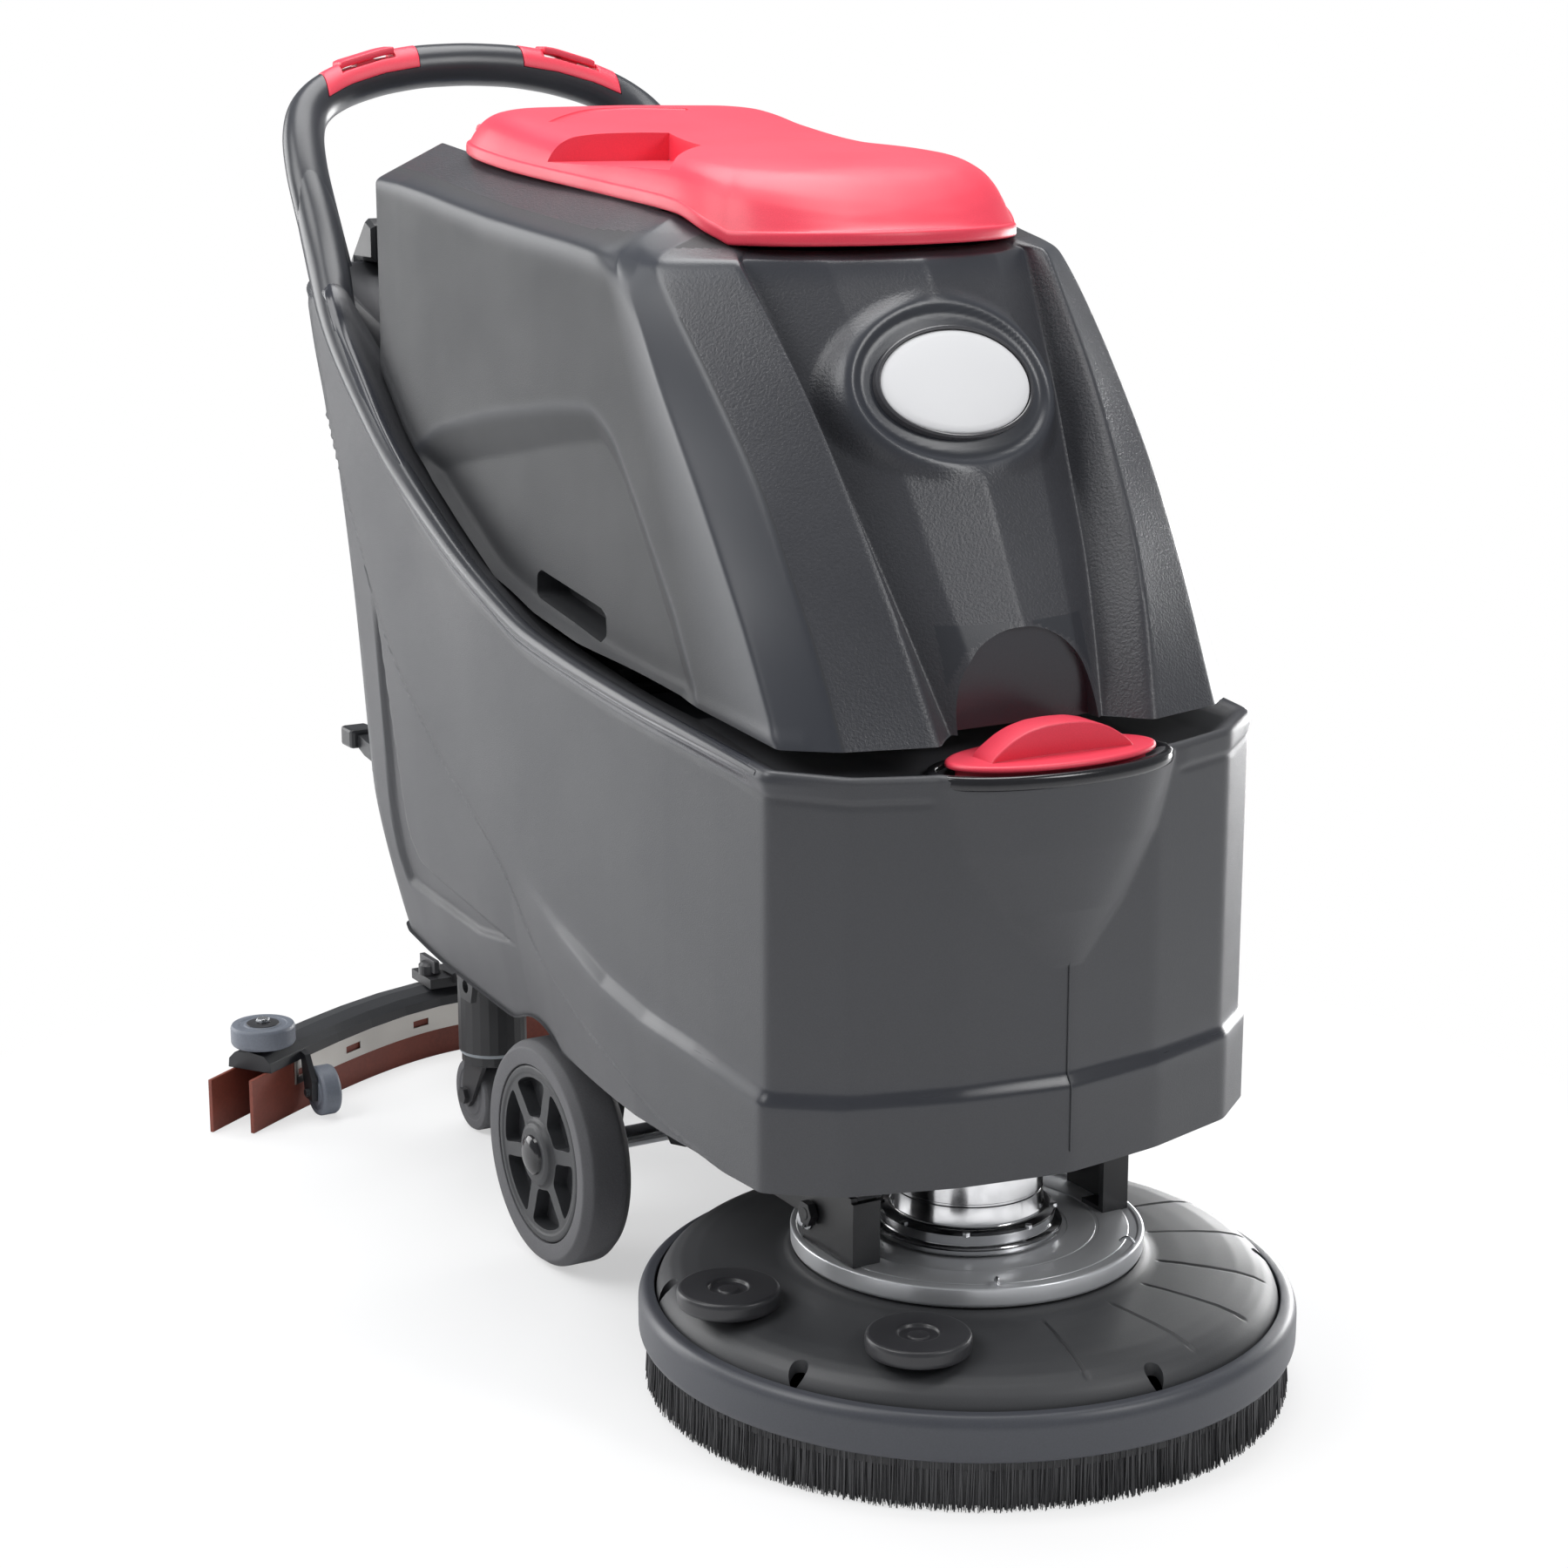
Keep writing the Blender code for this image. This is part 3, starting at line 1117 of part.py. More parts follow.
def brush_motor():
    low = PLATE_FACE + GAP
    profile = [(0, 0.074), (0.012, 0.074), (0.012, low), (0.078, low), (0.078, low + 0.006),
               (0.072, low + 0.008), (0.072, low + 0.017),
               (MOTOR_R, low + 0.019), (MOTOR_R, 0.235), (0.056, 0.248), (0, 0.252)]
    motor = turned("brush_motor", profile, "Z", (0, DECK_Y, 0), 24)
    return finish(motor, "brush_motor", "steel", (0, DECK_Y, low))


def deck_bracket(name, side):
    low = PLATE_FACE + GAP
    x = side * BRACKET_X
    bracket = plate_x(name, x, 0.006, [
        (-0.4265, low), (-0.3515, low), (-0.351, 0.168), (-0.358, 0.186), (-0.4265, 0.186)])
    flange = box("flange", (min(x - side * 0.022, x + side * 0.003), -0.430, low),
                 (max(x - side * 0.022, x + side * 0.003), -0.424, 0.182))
    foot = box("foot", (min(x - side * 0.022, x), -0.426, low),
               (max(x - side * 0.022, x), -0.400, low + 0.004))
    join(bracket, flange, foot)
    bore = cylinder("bore", PIN_R + FIT, *sorted((side * 0.12, side * 0.15)), "X", (0, BOLT_Y, BOLT_Z), 14)
    cut(bracket, bore)
    return finish(bracket, name, "dark_steel", (x, BOLT_Y, BOLT_Z))


def lift_arms():
    arms = cylinder("lift_arms", 0.009, -ARM_X, ARM_X, "X", (0, -0.215, 0.158), 16)
    parts = []
    for side in (-1, 1):
        parts.append(plate_x("arm", side * ARM_X, ARM_T, [
            (BOLT_Y - 0.012, 0.150), (BOLT_Y, 0.143), (-0.215, 0.144), (ARM_Y, 0.144),
            (ARM_Y + 0.012, 0.150), (ARM_Y + 0.012, 0.163), (ARM_Y, 0.168), (-0.215, 0.172),
            (BOLT_Y, 0.169), (BOLT_Y - 0.012, 0.163)]))
        inner = ARM_X - 0.002
        parts.append(cylinder("pin", PIN_R, *sorted((side * inner, side * 0.142)), "X",
                              (0, BOLT_Y, BOLT_Z), 12))
        parts.append(cylinder("head", 0.0105, *sorted((side * 0.1345, side * 0.1415)), "X",
                              (0, BOLT_Y, BOLT_Z), 6))
        parts.append(cylinder("pin", PIN_R, *sorted((side * inner, side * 0.1350)), "X",
                              (0, ARM_Y, ARM_Z), 12))
    join(arms, *parts)
    return finish(arms, "lift_arms", "dark_steel", (0, ARM_Y, ARM_Z))


def deck_knob(name):
    x, y = KNOBS[name]
    low = 0.1040
    profile = [(0, 0.090), (0.005, 0.090), (0.005, low), (KNOB_R - 0.003, low), (KNOB_R, low + 0.002),
               (KNOB_R, low + 0.008), (KNOB_R - 0.002, low + 0.010), (0.016, low + 0.010),
               (0.014, low + 0.007), (0, low + 0.007)]
    knob = turned(name, profile, "Z", (x, y, 0), 24)
    return finish(knob, name, "black_plastic", (x, y, low))


def brush_disc():
    profile = [(0.012 + FIT, 0.0465), (BRUSH_R - 0.006, 0.0465), (BRUSH_R - 0.006, 0.058),
               (0.040, 0.062), (0.028, 0.070), (0.028, 0.096), (0.012 + FIT, 0.096)]
    disc = turned("brush_disc", profile, "Z", (0, DECK_Y, 0), 24)
    return finish(disc, "brush_disc", "tank_dark", (0, DECK_Y, 0.05))


def brush_bristles():
    profile = [(0.070, 0.0), (BRUSH_R, 0.0), (BRUSH_R - 0.004, 0.0461), (0.074, 0.0461)]
    brush = turned("brush_bristles", profile, "Z", (0, DECK_Y, 0), 24)
    return finish(brush, "brush_bristles", "bristle", (0, DECK_Y, 0))


# ---------------------------------------------------------------- squeegee
def sweep_y(x):
    bow = math.hypot(SQUEEGEE_BOW, SQUEEGEE_SLOPE * x) - SQUEEGEE_BOW
    return SQUEEGEE_Y - bow


def sweep_normal(x):
    step = 0.001
    slope = (sweep_y(x + step) - sweep_y(x - step)) / (2 * step)
    return Vector((-slope, 1.0)).normalized()


def sweep_point(x, off):
    """A point off the squeegee's curve. All strips share the same straight runs, so they stay parallel."""
    low = STATION * math.floor(x / STATION)
    ends = []
    for stop in (low, low + STATION):
        normal = sweep_normal(stop)
        ends.append((stop + normal.x * off, sweep_y(stop) + normal.y * off))
    share = (x - low) / STATION
    return tuple(a + share * (b - a) for a, b in zip(*ends))


def strip(name, half, section):
    """A (offset, z) section swept along the squeegee's curve."""
    inner = int(half / STATION - 0.1)
    stops = [-half] + [STATION * i for i in range(-inner, inner + 1)] + [half]
    rings = [[(*sweep_point(x, off), z) for off, z in section] for x in stops]
    return skin(name, rings)


STATION = 0.050         # straight runs of the squeegee's curve
BLADE_IN = 0.0175       # inner face of each blade from the middle of the channel
BLADE_T = 0.004
STRAP_T = 0.002
CHANNEL_LOW = BLADE_TOP + GAP
CHANNEL_CROWN = 0.0755  # ridge of the channel, which the arm's foot lies on


def blade(name, side, half):
    inner, outer = side * BLADE_IN, side * (BLADE_IN + BLADE_T)
    body = strip(name, half, [(inner, 0.0), (outer, 0.0), (outer, BLADE_TOP), (inner, BLADE_TOP)])
    return finish(body, name, "blade_rubber", (0, SQUEEGEE_Y, BLADE_TOP))


def blade_strap():
    inner = -(BLADE_IN + BLADE_T + GAP)
    outer = inner - STRAP_T
    strap = strip("blade_strap", 0.262, [(inner, 0.030), (outer, 0.030), (outer, BLADE_TOP), (inner, BLADE_TOP)])
    for x in (-0.19, -0.10, 0.10, 0.19):
        y = sweep_y(x) + sweep_normal(x).y * inner
        cut(strap, box("slot", (x - 0.010, y - 0.025, 0.039), (x + 0.010, y + 0.012, 0.046)))
    return finish(strap, "blade_strap", "steel", (0, SQUEEGEE_Y, 0.04))


ROLLER_X = 0.279
ROLLER_LOW = 0.078
PORT_X = 0.104          # suction port, clear of the wing knob's turn
PORT_R = 0.023
SUPPORT_X = 0.225
SUPPORT_Y = 0.466
SUPPORT_R = 0.026
SUPPORT_W = 0.020


def squeegee_channel():
    section = [(-0.0260, CHANNEL_LOW), (0.0260, CHANNEL_LOW), (0.0250, 0.066), (0.018, 0.073),
               (0.0, CHANNEL_CROWN), (-0.018, 0.073), (-0.0250, 0.066)]
    channel = strip("squeegee_channel", 0.300, section)
    parts = []
    for side in (-1, 1):
        parts.append(cylinder("post", 0.006, 0.070, 0.1005, "Z", (side * ROLLER_X, sweep_y(ROLLER_X), 0), 16))
        parts.append(cylinder("shim", 0.011, 0.070, ROLLER_LOW - GAP, "Z",
                              (side * ROLLER_X, sweep_y(ROLLER_X), 0), 16))
        outer = SUPPORT_X + SUPPORT_W / 2 + FIT
        parts.append(plate_x("bracket", side * (outer + 0.003), 0.006, [
            (SUPPORT_Y - 0.008, 0.018), (SUPPORT_Y + 0.010, 0.018), (SUPPORT_Y + 0.020, 0.0575),
            (SUPPORT_Y + 0.060, 0.0575), (SUPPORT_Y + 0.060, 0.066), (SUPPORT_Y + 0.008, 0.064),
            (SUPPORT_Y - 0.010, 0.040)]))
        parts.append(cylinder("pin", 0.004, *sorted((side * (SUPPORT_X - 0.0125), side * (outer + 0.010))),
                              "X", (0, SUPPORT_Y, SUPPORT_R), 12))
    centre = (PORT_X, sweep_y(PORT_X), 0)
    port = turned("port", [(0, 0.060), (PORT_R, 0.060), (PORT_R, 0.112), (PORT_R - 0.003, 0.114), (0, 0.114)],
                  "Z", centre, 20)
    join(channel, *parts, port)
    cut(channel, cylinder("duct", PORT_R - 0.0065, 0.050, 0.12, "Z", centre, 20))
    return finish(channel, "squeegee_channel", "black_plastic", (0, SQUEEGEE_Y, CHANNEL_LOW))


def bumper_roller(name, side):
    low = ROLLER_LOW
    profile = [(0.006 + FIT, low), (ROLLER_R - 0.003, low), (ROLLER_R, low + 0.003),
               (ROLLER_R, low + 0.018), (ROLLER_R - 0.003, low + 0.021), (0.006 + FIT, low + 0.021)]
    centre = (side * ROLLER_X, sweep_y(ROLLER_X), 0)
    roller = turned(name, profile, "Z", centre, 24)
    return finish(roller, name, "rubber_grey", (centre[0], centre[1], low))


def support_wheel(name, side):
    half = SUPPORT_W / 2
    profile = [(0.004 + FIT, -half), (SUPPORT_R - 0.003, -half), (SUPPORT_R, -half + 0.003),
               (SUPPORT_R, half - 0.003), (SUPPORT_R - 0.003, half), (0.004 + FIT, half)]
    centre = (side * SUPPORT_X, SUPPORT_Y, SUPPORT_R)
    wheel = turned(name, profile, "X", centre, 16)
    return finish(wheel, name, "rubber_grey", centre)


ARM_FOOT = CHANNEL_CROWN + GAP
SCREW_X = 0.045


def squeegee_arm():
    arm = prism("squeegee_arm", [
        (0.330, 0.143), (0.338, 0.138), (0.352, 0.138), (0.480, 0.112), (0.560, 0.086), (0.590, ARM_FOOT + 0.002),
        (0.626, ARM_FOOT + 0.002), (0.626, 0.0872), (0.580, 0.0895), (0.500, 0.132), (0.352, 0.162),
        (0.336, 0.160)], "X", -0.030, 0.030)
    foot = box("foot", (-0.055, 0.581, ARM_FOOT), (0.055, 0.632, 0.0865))
    pin = cylinder("pin", 0.006, -0.056, 0.056, "X", (0, PIVOT_Y, PIVOT_Z), 12)
    join(arm, foot, pin)
    for side in (-1, 1):
        cut(arm, cylinder("bore", 0.004 + FIT, 0.07, 0.10, "Z", (side * SCREW_X, 0.606, 0), 12))
    return finish(arm, "squeegee_arm", "dark_steel", (0, PIVOT_Y, PIVOT_Z))


def wing_knob(name, side):
    top = 0.0865 + GAP
    knob = turned(name, [(0, 0.0775), (0.004, 0.0775), (0.004, top), (0.012, top), (0.012, top + 0.010),
                         (0.009, top + 0.013), (0, top + 0.013)], "Z", (side * SCREW_X, 0.606, 0), 20)
    wing = bevelled(box("wing", (side * SCREW_X - 0.003, 0.586, top + 0.004),
                        (side * SCREW_X + 0.003, 0.626, top + 0.018)), 0.001, 1)
    join(knob, wing)
    return finish(knob, name, "red_plastic", (side * SCREW_X, 0.606, top))


# ---------------------------------------------------------------- assembly
def build():
    clear_scene()
    lower_tank()
    push_handle()
    grip_cover("grip_cover_right", -1)
    grip_cover("grip_cover_left", 1)
    drive_paddle("drive_paddle_right", -1)
    drive_paddle("drive_paddle_left", 1)
    recovery_tank()
    recovery_lid()
    fill_cap()
    badge_bezel()
    badge_plate()
    float_cage()
    float_ball()
    hinge_rod("tank_hinge_rod", HINGE_R, 0.116, HINGE_Y, HINGE_Z)
    hinge_rod("lid_hinge_rod", LID_PIN_R, 0.140, LID_PIN_Y, LID_PIN_Z)
    control_panel()
    status_display()
    for name, x, slot in zip(("button_brush", "button_vacuum", "button_water"), BUTTON_X,
                             ("green_plastic", "red_plastic", "blue_plastic")):
        panel_button(name, x, slot)
    water_knob()
    key_switch()
    battery("battery_front", -0.240)
    battery("battery_rear", -0.040)
    vacuum_motor()
    chassis_frame()
    wheel_axle()
    deck_pedal()
    squeegee_lever()
    for side, word in ((-1, "right"), (1, "left")):
        tyre("tyre_" + word, side)
        wheel_rim("wheel_rim_" + word, side)
        caster_fork("caster_fork_" + word, side)
        caster_wheel("caster_wheel_" + word, side)
        deck_bracket("deck_bracket_" + word, side)
        bumper_roller("bumper_roller_" + word, side)
        support_wheel("support_wheel_" + word, side)
        wing_knob("wing_knob_" + word, side)
    deck_cover()
    bumper_ring()
    bristle_skirt()
    motor_plate()
    brush_motor()
    lift_arms()
    for name in KNOBS:
        deck_knob(name)
    brush_disc()
    brush_bristles()
    squeegee_arm()
    squeegee_channel()
    blade_strap()
    blade("blade_front", -1, 0.322)
    blade("blade_rear", 1, SQUEEGEE_HALF)


build()
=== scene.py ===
import math
import random
from contextlib import contextmanager

import bmesh
import bpy
import numpy as np
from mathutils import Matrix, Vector


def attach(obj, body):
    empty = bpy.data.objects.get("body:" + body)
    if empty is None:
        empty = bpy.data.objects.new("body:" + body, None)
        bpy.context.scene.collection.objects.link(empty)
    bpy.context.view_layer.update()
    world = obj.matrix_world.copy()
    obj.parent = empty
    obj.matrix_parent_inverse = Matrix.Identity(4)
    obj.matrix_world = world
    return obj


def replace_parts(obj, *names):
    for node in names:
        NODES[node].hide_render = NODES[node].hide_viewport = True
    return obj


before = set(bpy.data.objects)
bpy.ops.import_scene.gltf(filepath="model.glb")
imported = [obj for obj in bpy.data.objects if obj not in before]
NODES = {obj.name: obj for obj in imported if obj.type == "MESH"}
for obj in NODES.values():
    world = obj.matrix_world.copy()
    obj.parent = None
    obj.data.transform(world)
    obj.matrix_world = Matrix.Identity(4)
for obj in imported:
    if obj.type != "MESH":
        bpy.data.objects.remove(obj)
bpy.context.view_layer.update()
SHIFT = 0.012           # the model stands this far back from the deck-based coordinates used below
DECK_Y = -0.390         # the brush axis, deck based
DECK_AXIS = (0, DECK_Y + SHIFT, 0)
FLANKS = ((-1, "right"), (1, "left"))


# ---------------------------------------------------------------- curves and grids
def curve(table, k=1):
    """A smooth monotone curve through (x, y, ...) rows, read at numpy x. k picks the column."""
    xs = np.array([row[0] for row in table], float)
    ys = np.array([row[k] for row in table], float)
    h = np.diff(xs)
    d = np.diff(ys) / h
    m = np.zeros(len(xs))
    for i in range(1, len(xs) - 1):
        if d[i - 1] * d[i] > 0:
            w1, w2 = 2 * h[i] + h[i - 1], h[i] + 2 * h[i - 1]
            m[i] = (w1 + w2) / (w1 / d[i - 1] + w2 / d[i])
    m[0], m[-1] = d[0], d[-1]

    def read(x):
        x = np.clip(np.asarray(x, float), xs[0], xs[-1])
        i = np.clip(np.searchsorted(xs, x) - 1, 0, len(xs) - 2)
        t = (x - xs[i]) / h[i]
        t2, t3 = t * t, t * t * t
        return ((2 * t3 - 3 * t2 + 1) * ys[i] + (t3 - 2 * t2 + t) * h[i] * m[i]
                + (3 * t2 - 2 * t3) * ys[i + 1] + (t3 - t2) * h[i] * m[i + 1])
    return read


def line(table, k=1):
    return lambda x: np.interp(x, [row[0] for row in table], [row[k] for row in table])


def step(a, b, x):
    t = np.clip((np.asarray(x, float) - a) / (b - a), 0, 1)
    return t * t * (3 - 2 * t)


def turn(steps):
    return np.linspace(0, 2 * math.pi, steps, endpoint=False)


def smooth_axis(grid, sigma, axis, wrap):
    """Gaussian smoothing of a grid of points along one axis, in samples."""
    if sigma <= 0:
        return grid
    reach = int(3 * sigma) + 1
    weights = np.exp(-0.5 * (np.arange(-reach, reach + 1) / sigma) ** 2)
    weights /= weights.sum()
    grid = np.moveaxis(grid, axis, 0)
    if wrap:
        padded = np.concatenate([grid[-reach:], grid, grid[:reach]])
    else:
        # odd reflection keeps the end rows where they are
        padded = np.concatenate([2 * grid[0] - grid[reach:0:-1], grid, 2 * grid[-1] - grid[-2:-reach - 2:-1]])
    out = sum(w * padded[i:i + len(grid)] for i, w in enumerate(weights))
    return np.moveaxis(out, 0, axis)


def resample(points, count, closed=False):
    """Points spaced evenly along a polyline of rows; extra columns are carried along."""
    points = np.asarray(points, float)
    if closed:
        points = np.concatenate([points, points[:1]])
    length = np.concatenate([[0], np.cumsum(np.linalg.norm(np.diff(points[:, :2], axis=0), axis=1))])
    at = np.linspace(0, length[-1], count + 1)[:-1] if closed else np.linspace(0, length[-1], count)
    return np.stack([np.interp(at, length, points[:, k]) for k in range(points.shape[1])], axis=1)


def mirror_ring(half):
    """Right half outline, front to rear, to a closed ring."""
    half = np.asarray(half, float)
    inner = half[1:-1] if half[-1][0] == 0 else half[1:]
    flip = [-1] + [1] * (half.shape[1] - 1)
    return np.concatenate([half, inner[::-1] * flip])


def arched(half, count, sigma):
    """A half outline that ends on the middle plane, mirrored, evened out and softened."""
    outline = [(-x, z) for x, z in half] + half[-2::-1]
    return [tuple(p) for p in smooth_axis(resample(outline, count), sigma, 0, False)]


def shifted(grid):
    grid = np.array(grid, float)
    grid[..., 1] += SHIFT
    return grid


def inside_distance(points, polygon):
    """Signed distance in a plane to a closed polygon, positive inside."""
    p = np.asarray(points, float)
    poly = np.asarray(polygon, float)
    nearest = np.full(p.shape[:-1], 1e9)
    inside = np.zeros(p.shape[:-1], bool)
    for a, b in zip(poly, np.roll(poly, -1, axis=0)):
        d = b - a
        t = np.clip(((p - a) @ d) / (d @ d), 0, 1)
        nearest = np.minimum(nearest, np.linalg.norm(p - (a + t[..., None] * d), axis=-1))
        cross = ((a[1] > p[..., 1]) != (b[1] > p[..., 1]))
        with np.errstate(divide="ignore", invalid="ignore"):
            at = (b[0] - a[0]) * (p[..., 1] - a[1]) / (b[1] - a[1]) + a[0]
        inside ^= cross & (p[..., 0] < at)
    return np.where(inside, nearest, -nearest)


def softened_polygon(points, spacing, sigma):
    points = np.asarray(points, float)
    around = np.linalg.norm(points - np.roll(points, 1, axis=0), axis=1).sum()
    ring = resample(points, max(12, int(around / spacing)), closed=True)
    return smooth_axis(ring, sigma / spacing, 0, True)


def groove_line(distance, width, depth):
    """A shallow channel where distance is near 0."""
    return -depth * np.exp(-(distance / width) ** 2)


def rounded_profile(points, radius, steps=4):
    """The closed profile with each corner rounded. radius may be one number or one per point."""
    points = [np.array(p, float) for p in points]
    count = len(points)
    radii = radius if isinstance(radius, (list, tuple)) else [radius] * count
    out = []
    for i, p in enumerate(points):
        a, b = points[i - 1] - p, points[(i + 1) % count] - p
        la, lb = np.linalg.norm(a), np.linalg.norm(b)
        r = min(radii[i], 0.45 * la, 0.45 * lb)
        if r <= 1e-5 or p[0] < 1e-6:
            out.append(tuple(p))
            continue
        start, end = p + a / la * r, p + b / lb * r
        for t in np.arange(steps + 1) / steps:
            out.append(tuple((1 - t) ** 2 * start + 2 * t * (1 - t) * p + t * t * end))
    return out


# ---------------------------------------------------------------- meshes
def new_object(name, verts, faces, mat=None, body=None, smooth=True):
    data = bpy.data.meshes.new(name)
    data.from_pydata([tuple(v) for v in np.asarray(verts, float)], [], [tuple(int(i) for i in f) for f in faces])
    data.validate()
    obj = bpy.data.objects.new(name, data)
    bpy.context.scene.collection.objects.link(obj)
    return dress(obj, mat, body, None, smooth)


def dress(obj, mat, body, sharp=None, smooth=True):
    """Gives a piece its material, shading and body. A helper shape has none of them."""
    obj.data.materials.clear()
    if mat:
        obj.data.materials.append(M[mat])
    obj.data.polygons.foreach_set("use_smooth", [smooth] * len(obj.data.polygons))
    if sharp:
        obj.data.set_sharp_from_angle(angle=math.radians(sharp))
    obj.data.update()
    if body:
        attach(obj, body)
    return obj


@contextmanager
def editing(obj):
    """The object's mesh, open for changes, with its normals turned outwards at the end."""
    shape = bmesh.new()
    shape.from_mesh(obj.data)
    yield shape
    bmesh.ops.recalc_face_normals(shape, faces=shape.faces)
    shape.to_mesh(obj.data)
    shape.free()


def close_ends(obj):
    """Fills each open border loop with one face."""
    with editing(obj) as shape:
        bmesh.ops.holes_fill(shape, edges=[e for e in shape.edges if len(e.link_faces) == 1])
    obj.data.polygons.foreach_set("use_smooth", [True] * len(obj.data.polygons))
    return obj


def weld(obj):
    """Merges points that coincide, which closes a ring folded flat onto the middle plane."""
    with editing(obj) as shape:
        bmesh.ops.remove_doubles(shape, verts=shape.verts, dist=2e-5)
        bmesh.ops.dissolve_degenerate(shape, edges=shape.edges, dist=1e-6)


def grid_faces(nu, nv, close_u=False, close_v=False):
    us = np.arange(nu if close_u else nu - 1)
    vs = np.arange(nv if close_v else nv - 1)
    u, v = np.meshgrid(us, vs, indexing="ij")
    u2, v2 = (u + 1) % nu, (v + 1) % nv
    return np.stack([u * nv + v, u2 * nv + v, u2 * nv + v2, u * nv + v2], axis=-1).reshape(-1, 4)


def grid_object(name, grid, mat=None, body=None, sharp=None, close_v=False, caps=False, polish_and_painted_light=None):
    """A mesh through a grid of points. Its first axis runs round the piece and closes."""
    nu, nv = grid.shape[:2]
    faces = [tuple(f) for f in grid_faces(nu, nv, True, close_v)]
    if caps:
        faces.append(tuple(range(0, nu * nv, nv))[::-1])
        faces.append(tuple(range(nv - 1, nu * nv, nv)))
    obj = dress(new_object(name, grid.reshape(-1, 3), faces), mat, None, sharp)
    with editing(obj):
        pass
    if polish_and_painted_light is not None:
        attribute = obj.data.attributes.new("polish_and_painted_light", "FLOAT", "POINT")
        attribute.data.foreach_set("value", np.asarray(polish_and_painted_light, np.float32).reshape(-1))
    if body:
        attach(obj, body)
    return obj


def turned(name, profile, mat=None, body=None, axis="Z", centre=DECK_AXIS, steps=96, closed=True,
           sharp=30):
    """A profile of (radius, height) rows, revolved. One that isn't closed starts and ends on the axis."""
    r, h = np.array(profile, float).T
    x, y, z = np.outer(np.cos(turn(steps)), r), np.outer(np.sin(turn(steps)), r), np.tile(h, (steps, 1))
    grid = np.stack({"X": (z, x, y), "Z": (x, y, z)}[axis], axis=-1) + np.array(centre)
    obj = new_object(name, grid.reshape(-1, 3), grid_faces(*grid.shape[:2], True, closed))
    with editing(obj) as shape:
        bmesh.ops.remove_doubles(shape, verts=shape.verts, dist=1e-6)
    dress(obj, mat, body, sharp)
    return obj if closed else close_ends(obj)


def prism(name, outline, axis, low, high, mat=None, body=None, bevel=0.0, segments=2):
    """An outline drawn across the axis, (y, z) for X, (x, z) for Y, (x, y) for Z, with rounded edges."""
    place = {"X": lambda p, d: (d, p[0], p[1]), "Y": lambda p, d: (p[0], d, p[1]),
             "Z": lambda p, d: (p[0], p[1], d)}[axis]
    count = len(outline)
    verts = [place(p, low) for p in outline] + [place(p, high) for p in outline]
    faces = [tuple(range(count))[::-1], tuple(range(count, 2 * count))]
    faces += [(i, (i + 1) % count, count + (i + 1) % count, count + i) for i in range(count)]
    obj = new_object(name, verts, faces, smooth=False)
    with editing(obj):
        pass
    if bevel:
        bevel_object(obj, bevel, segments)
    return dress(obj, mat, body, 40)


def bevel_object(obj, width, segments=2, angle=30):
    change = obj.modifiers.new("bevel", "BEVEL")
    change.width = width
    change.segments = segments
    change.limit_method = "ANGLE"
    change.angle_limit = math.radians(angle)
    apply_modifiers(obj)


def apply_modifiers(obj):
    bpy.context.view_layer.update()
    graph = bpy.context.evaluated_depsgraph_get()
    made = bpy.data.meshes.new_from_object(obj.evaluated_get(graph))
    obj.modifiers.clear()
    obj.data = made


def carve(obj, other, operation="DIFFERENCE"):
    change = obj.modifiers.new("carve", "BOOLEAN")
    change.operation = operation
    change.solver = "EXACT"
    change.object = other
    apply_modifiers(obj)
    bpy.data.objects.remove(other, do_unlink=True)


def joined(first, *others):
    """Several meshes as one piece, without a Boolean."""
    shape = bmesh.new()
    for obj in (first, *others):
        shape.from_mesh(obj.data)
    shape.to_mesh(first.data)
    shape.free()
    for obj in others:
        bpy.data.objects.remove(obj, do_unlink=True)
    return first


def rings_along(path, wide, high, steps, up, carry=False):
    """An oval ring about each point of a path, as a grid. With carry, the rings' frame turns with the path."""
    tangent = np.gradient(path, axis=0)
    tangent /= np.linalg.norm(tangent, axis=1)[:, None]
    cos, sin = np.cos(turn(steps)), np.sin(turn(steps))
    rings = []
    for p, t, w, h in zip(path, tangent, np.broadcast_to(wide, len(path)), np.broadcast_to(high, len(path))):
        side = np.cross(t, up)
        side /= np.linalg.norm(side)
        over = np.cross(side, t)
        up = over if carry else up
        rings.append(p + np.outer(cos, side) * w + np.outer(sin, over) * h)
    return np.array(rings).transpose(1, 0, 2)


def tube(name, path, radius, mat=None, body=None, steps=12, flat=None):
    """A round bar along a path, with closed ends."""
    path = np.asarray(path, float)
    upright = abs((path[1] - path[0])[2]) >= 0.9 * np.linalg.norm(path[1] - path[0])
    grid = rings_along(path, radius, flat or radius, steps, (1.0, 0.0, 0.0) if upright else (0.0, 0.0, 1.0), True)
    return grid_object(name, grid, mat, body, 50, caps=True)


# ---------------------------------------------------------------- materials
def feed(tree, sockets, values):
    """Links each named socket to another node's output, or sets it to a constant."""
    for key, value in values.items():
        if isinstance(value, bpy.types.NodeSocket):
            tree.links.new(value, sockets[key])
        else:
            sockets[key].default_value = value


def node(tree, kind, values, output=0, **settings):
    """Adds a shader node and returns one of its outputs."""
    made = tree.nodes.new("ShaderNode" + kind)
    for key, value in settings.items():
        setattr(made, key, value)
    feed(tree, made.inputs, values)
    return made.outputs[output]


def new_material(name, colour):
    mat = bpy.data.materials.new(name)
    mat.use_nodes = True
    mat.diffuse_color = (*colour, 1)
    tree = mat.node_tree
    tree.nodes.clear()
    out = tree.nodes.new("ShaderNodeOutputMaterial")
    shader = tree.nodes.new("ShaderNodeBsdfPrincipled")
    tree.links.new(shader.outputs[0], out.inputs[0])
    return mat, tree, shader, out


def tint(colour, share):
    return tuple(min(1.0, c * share) for c in colour)


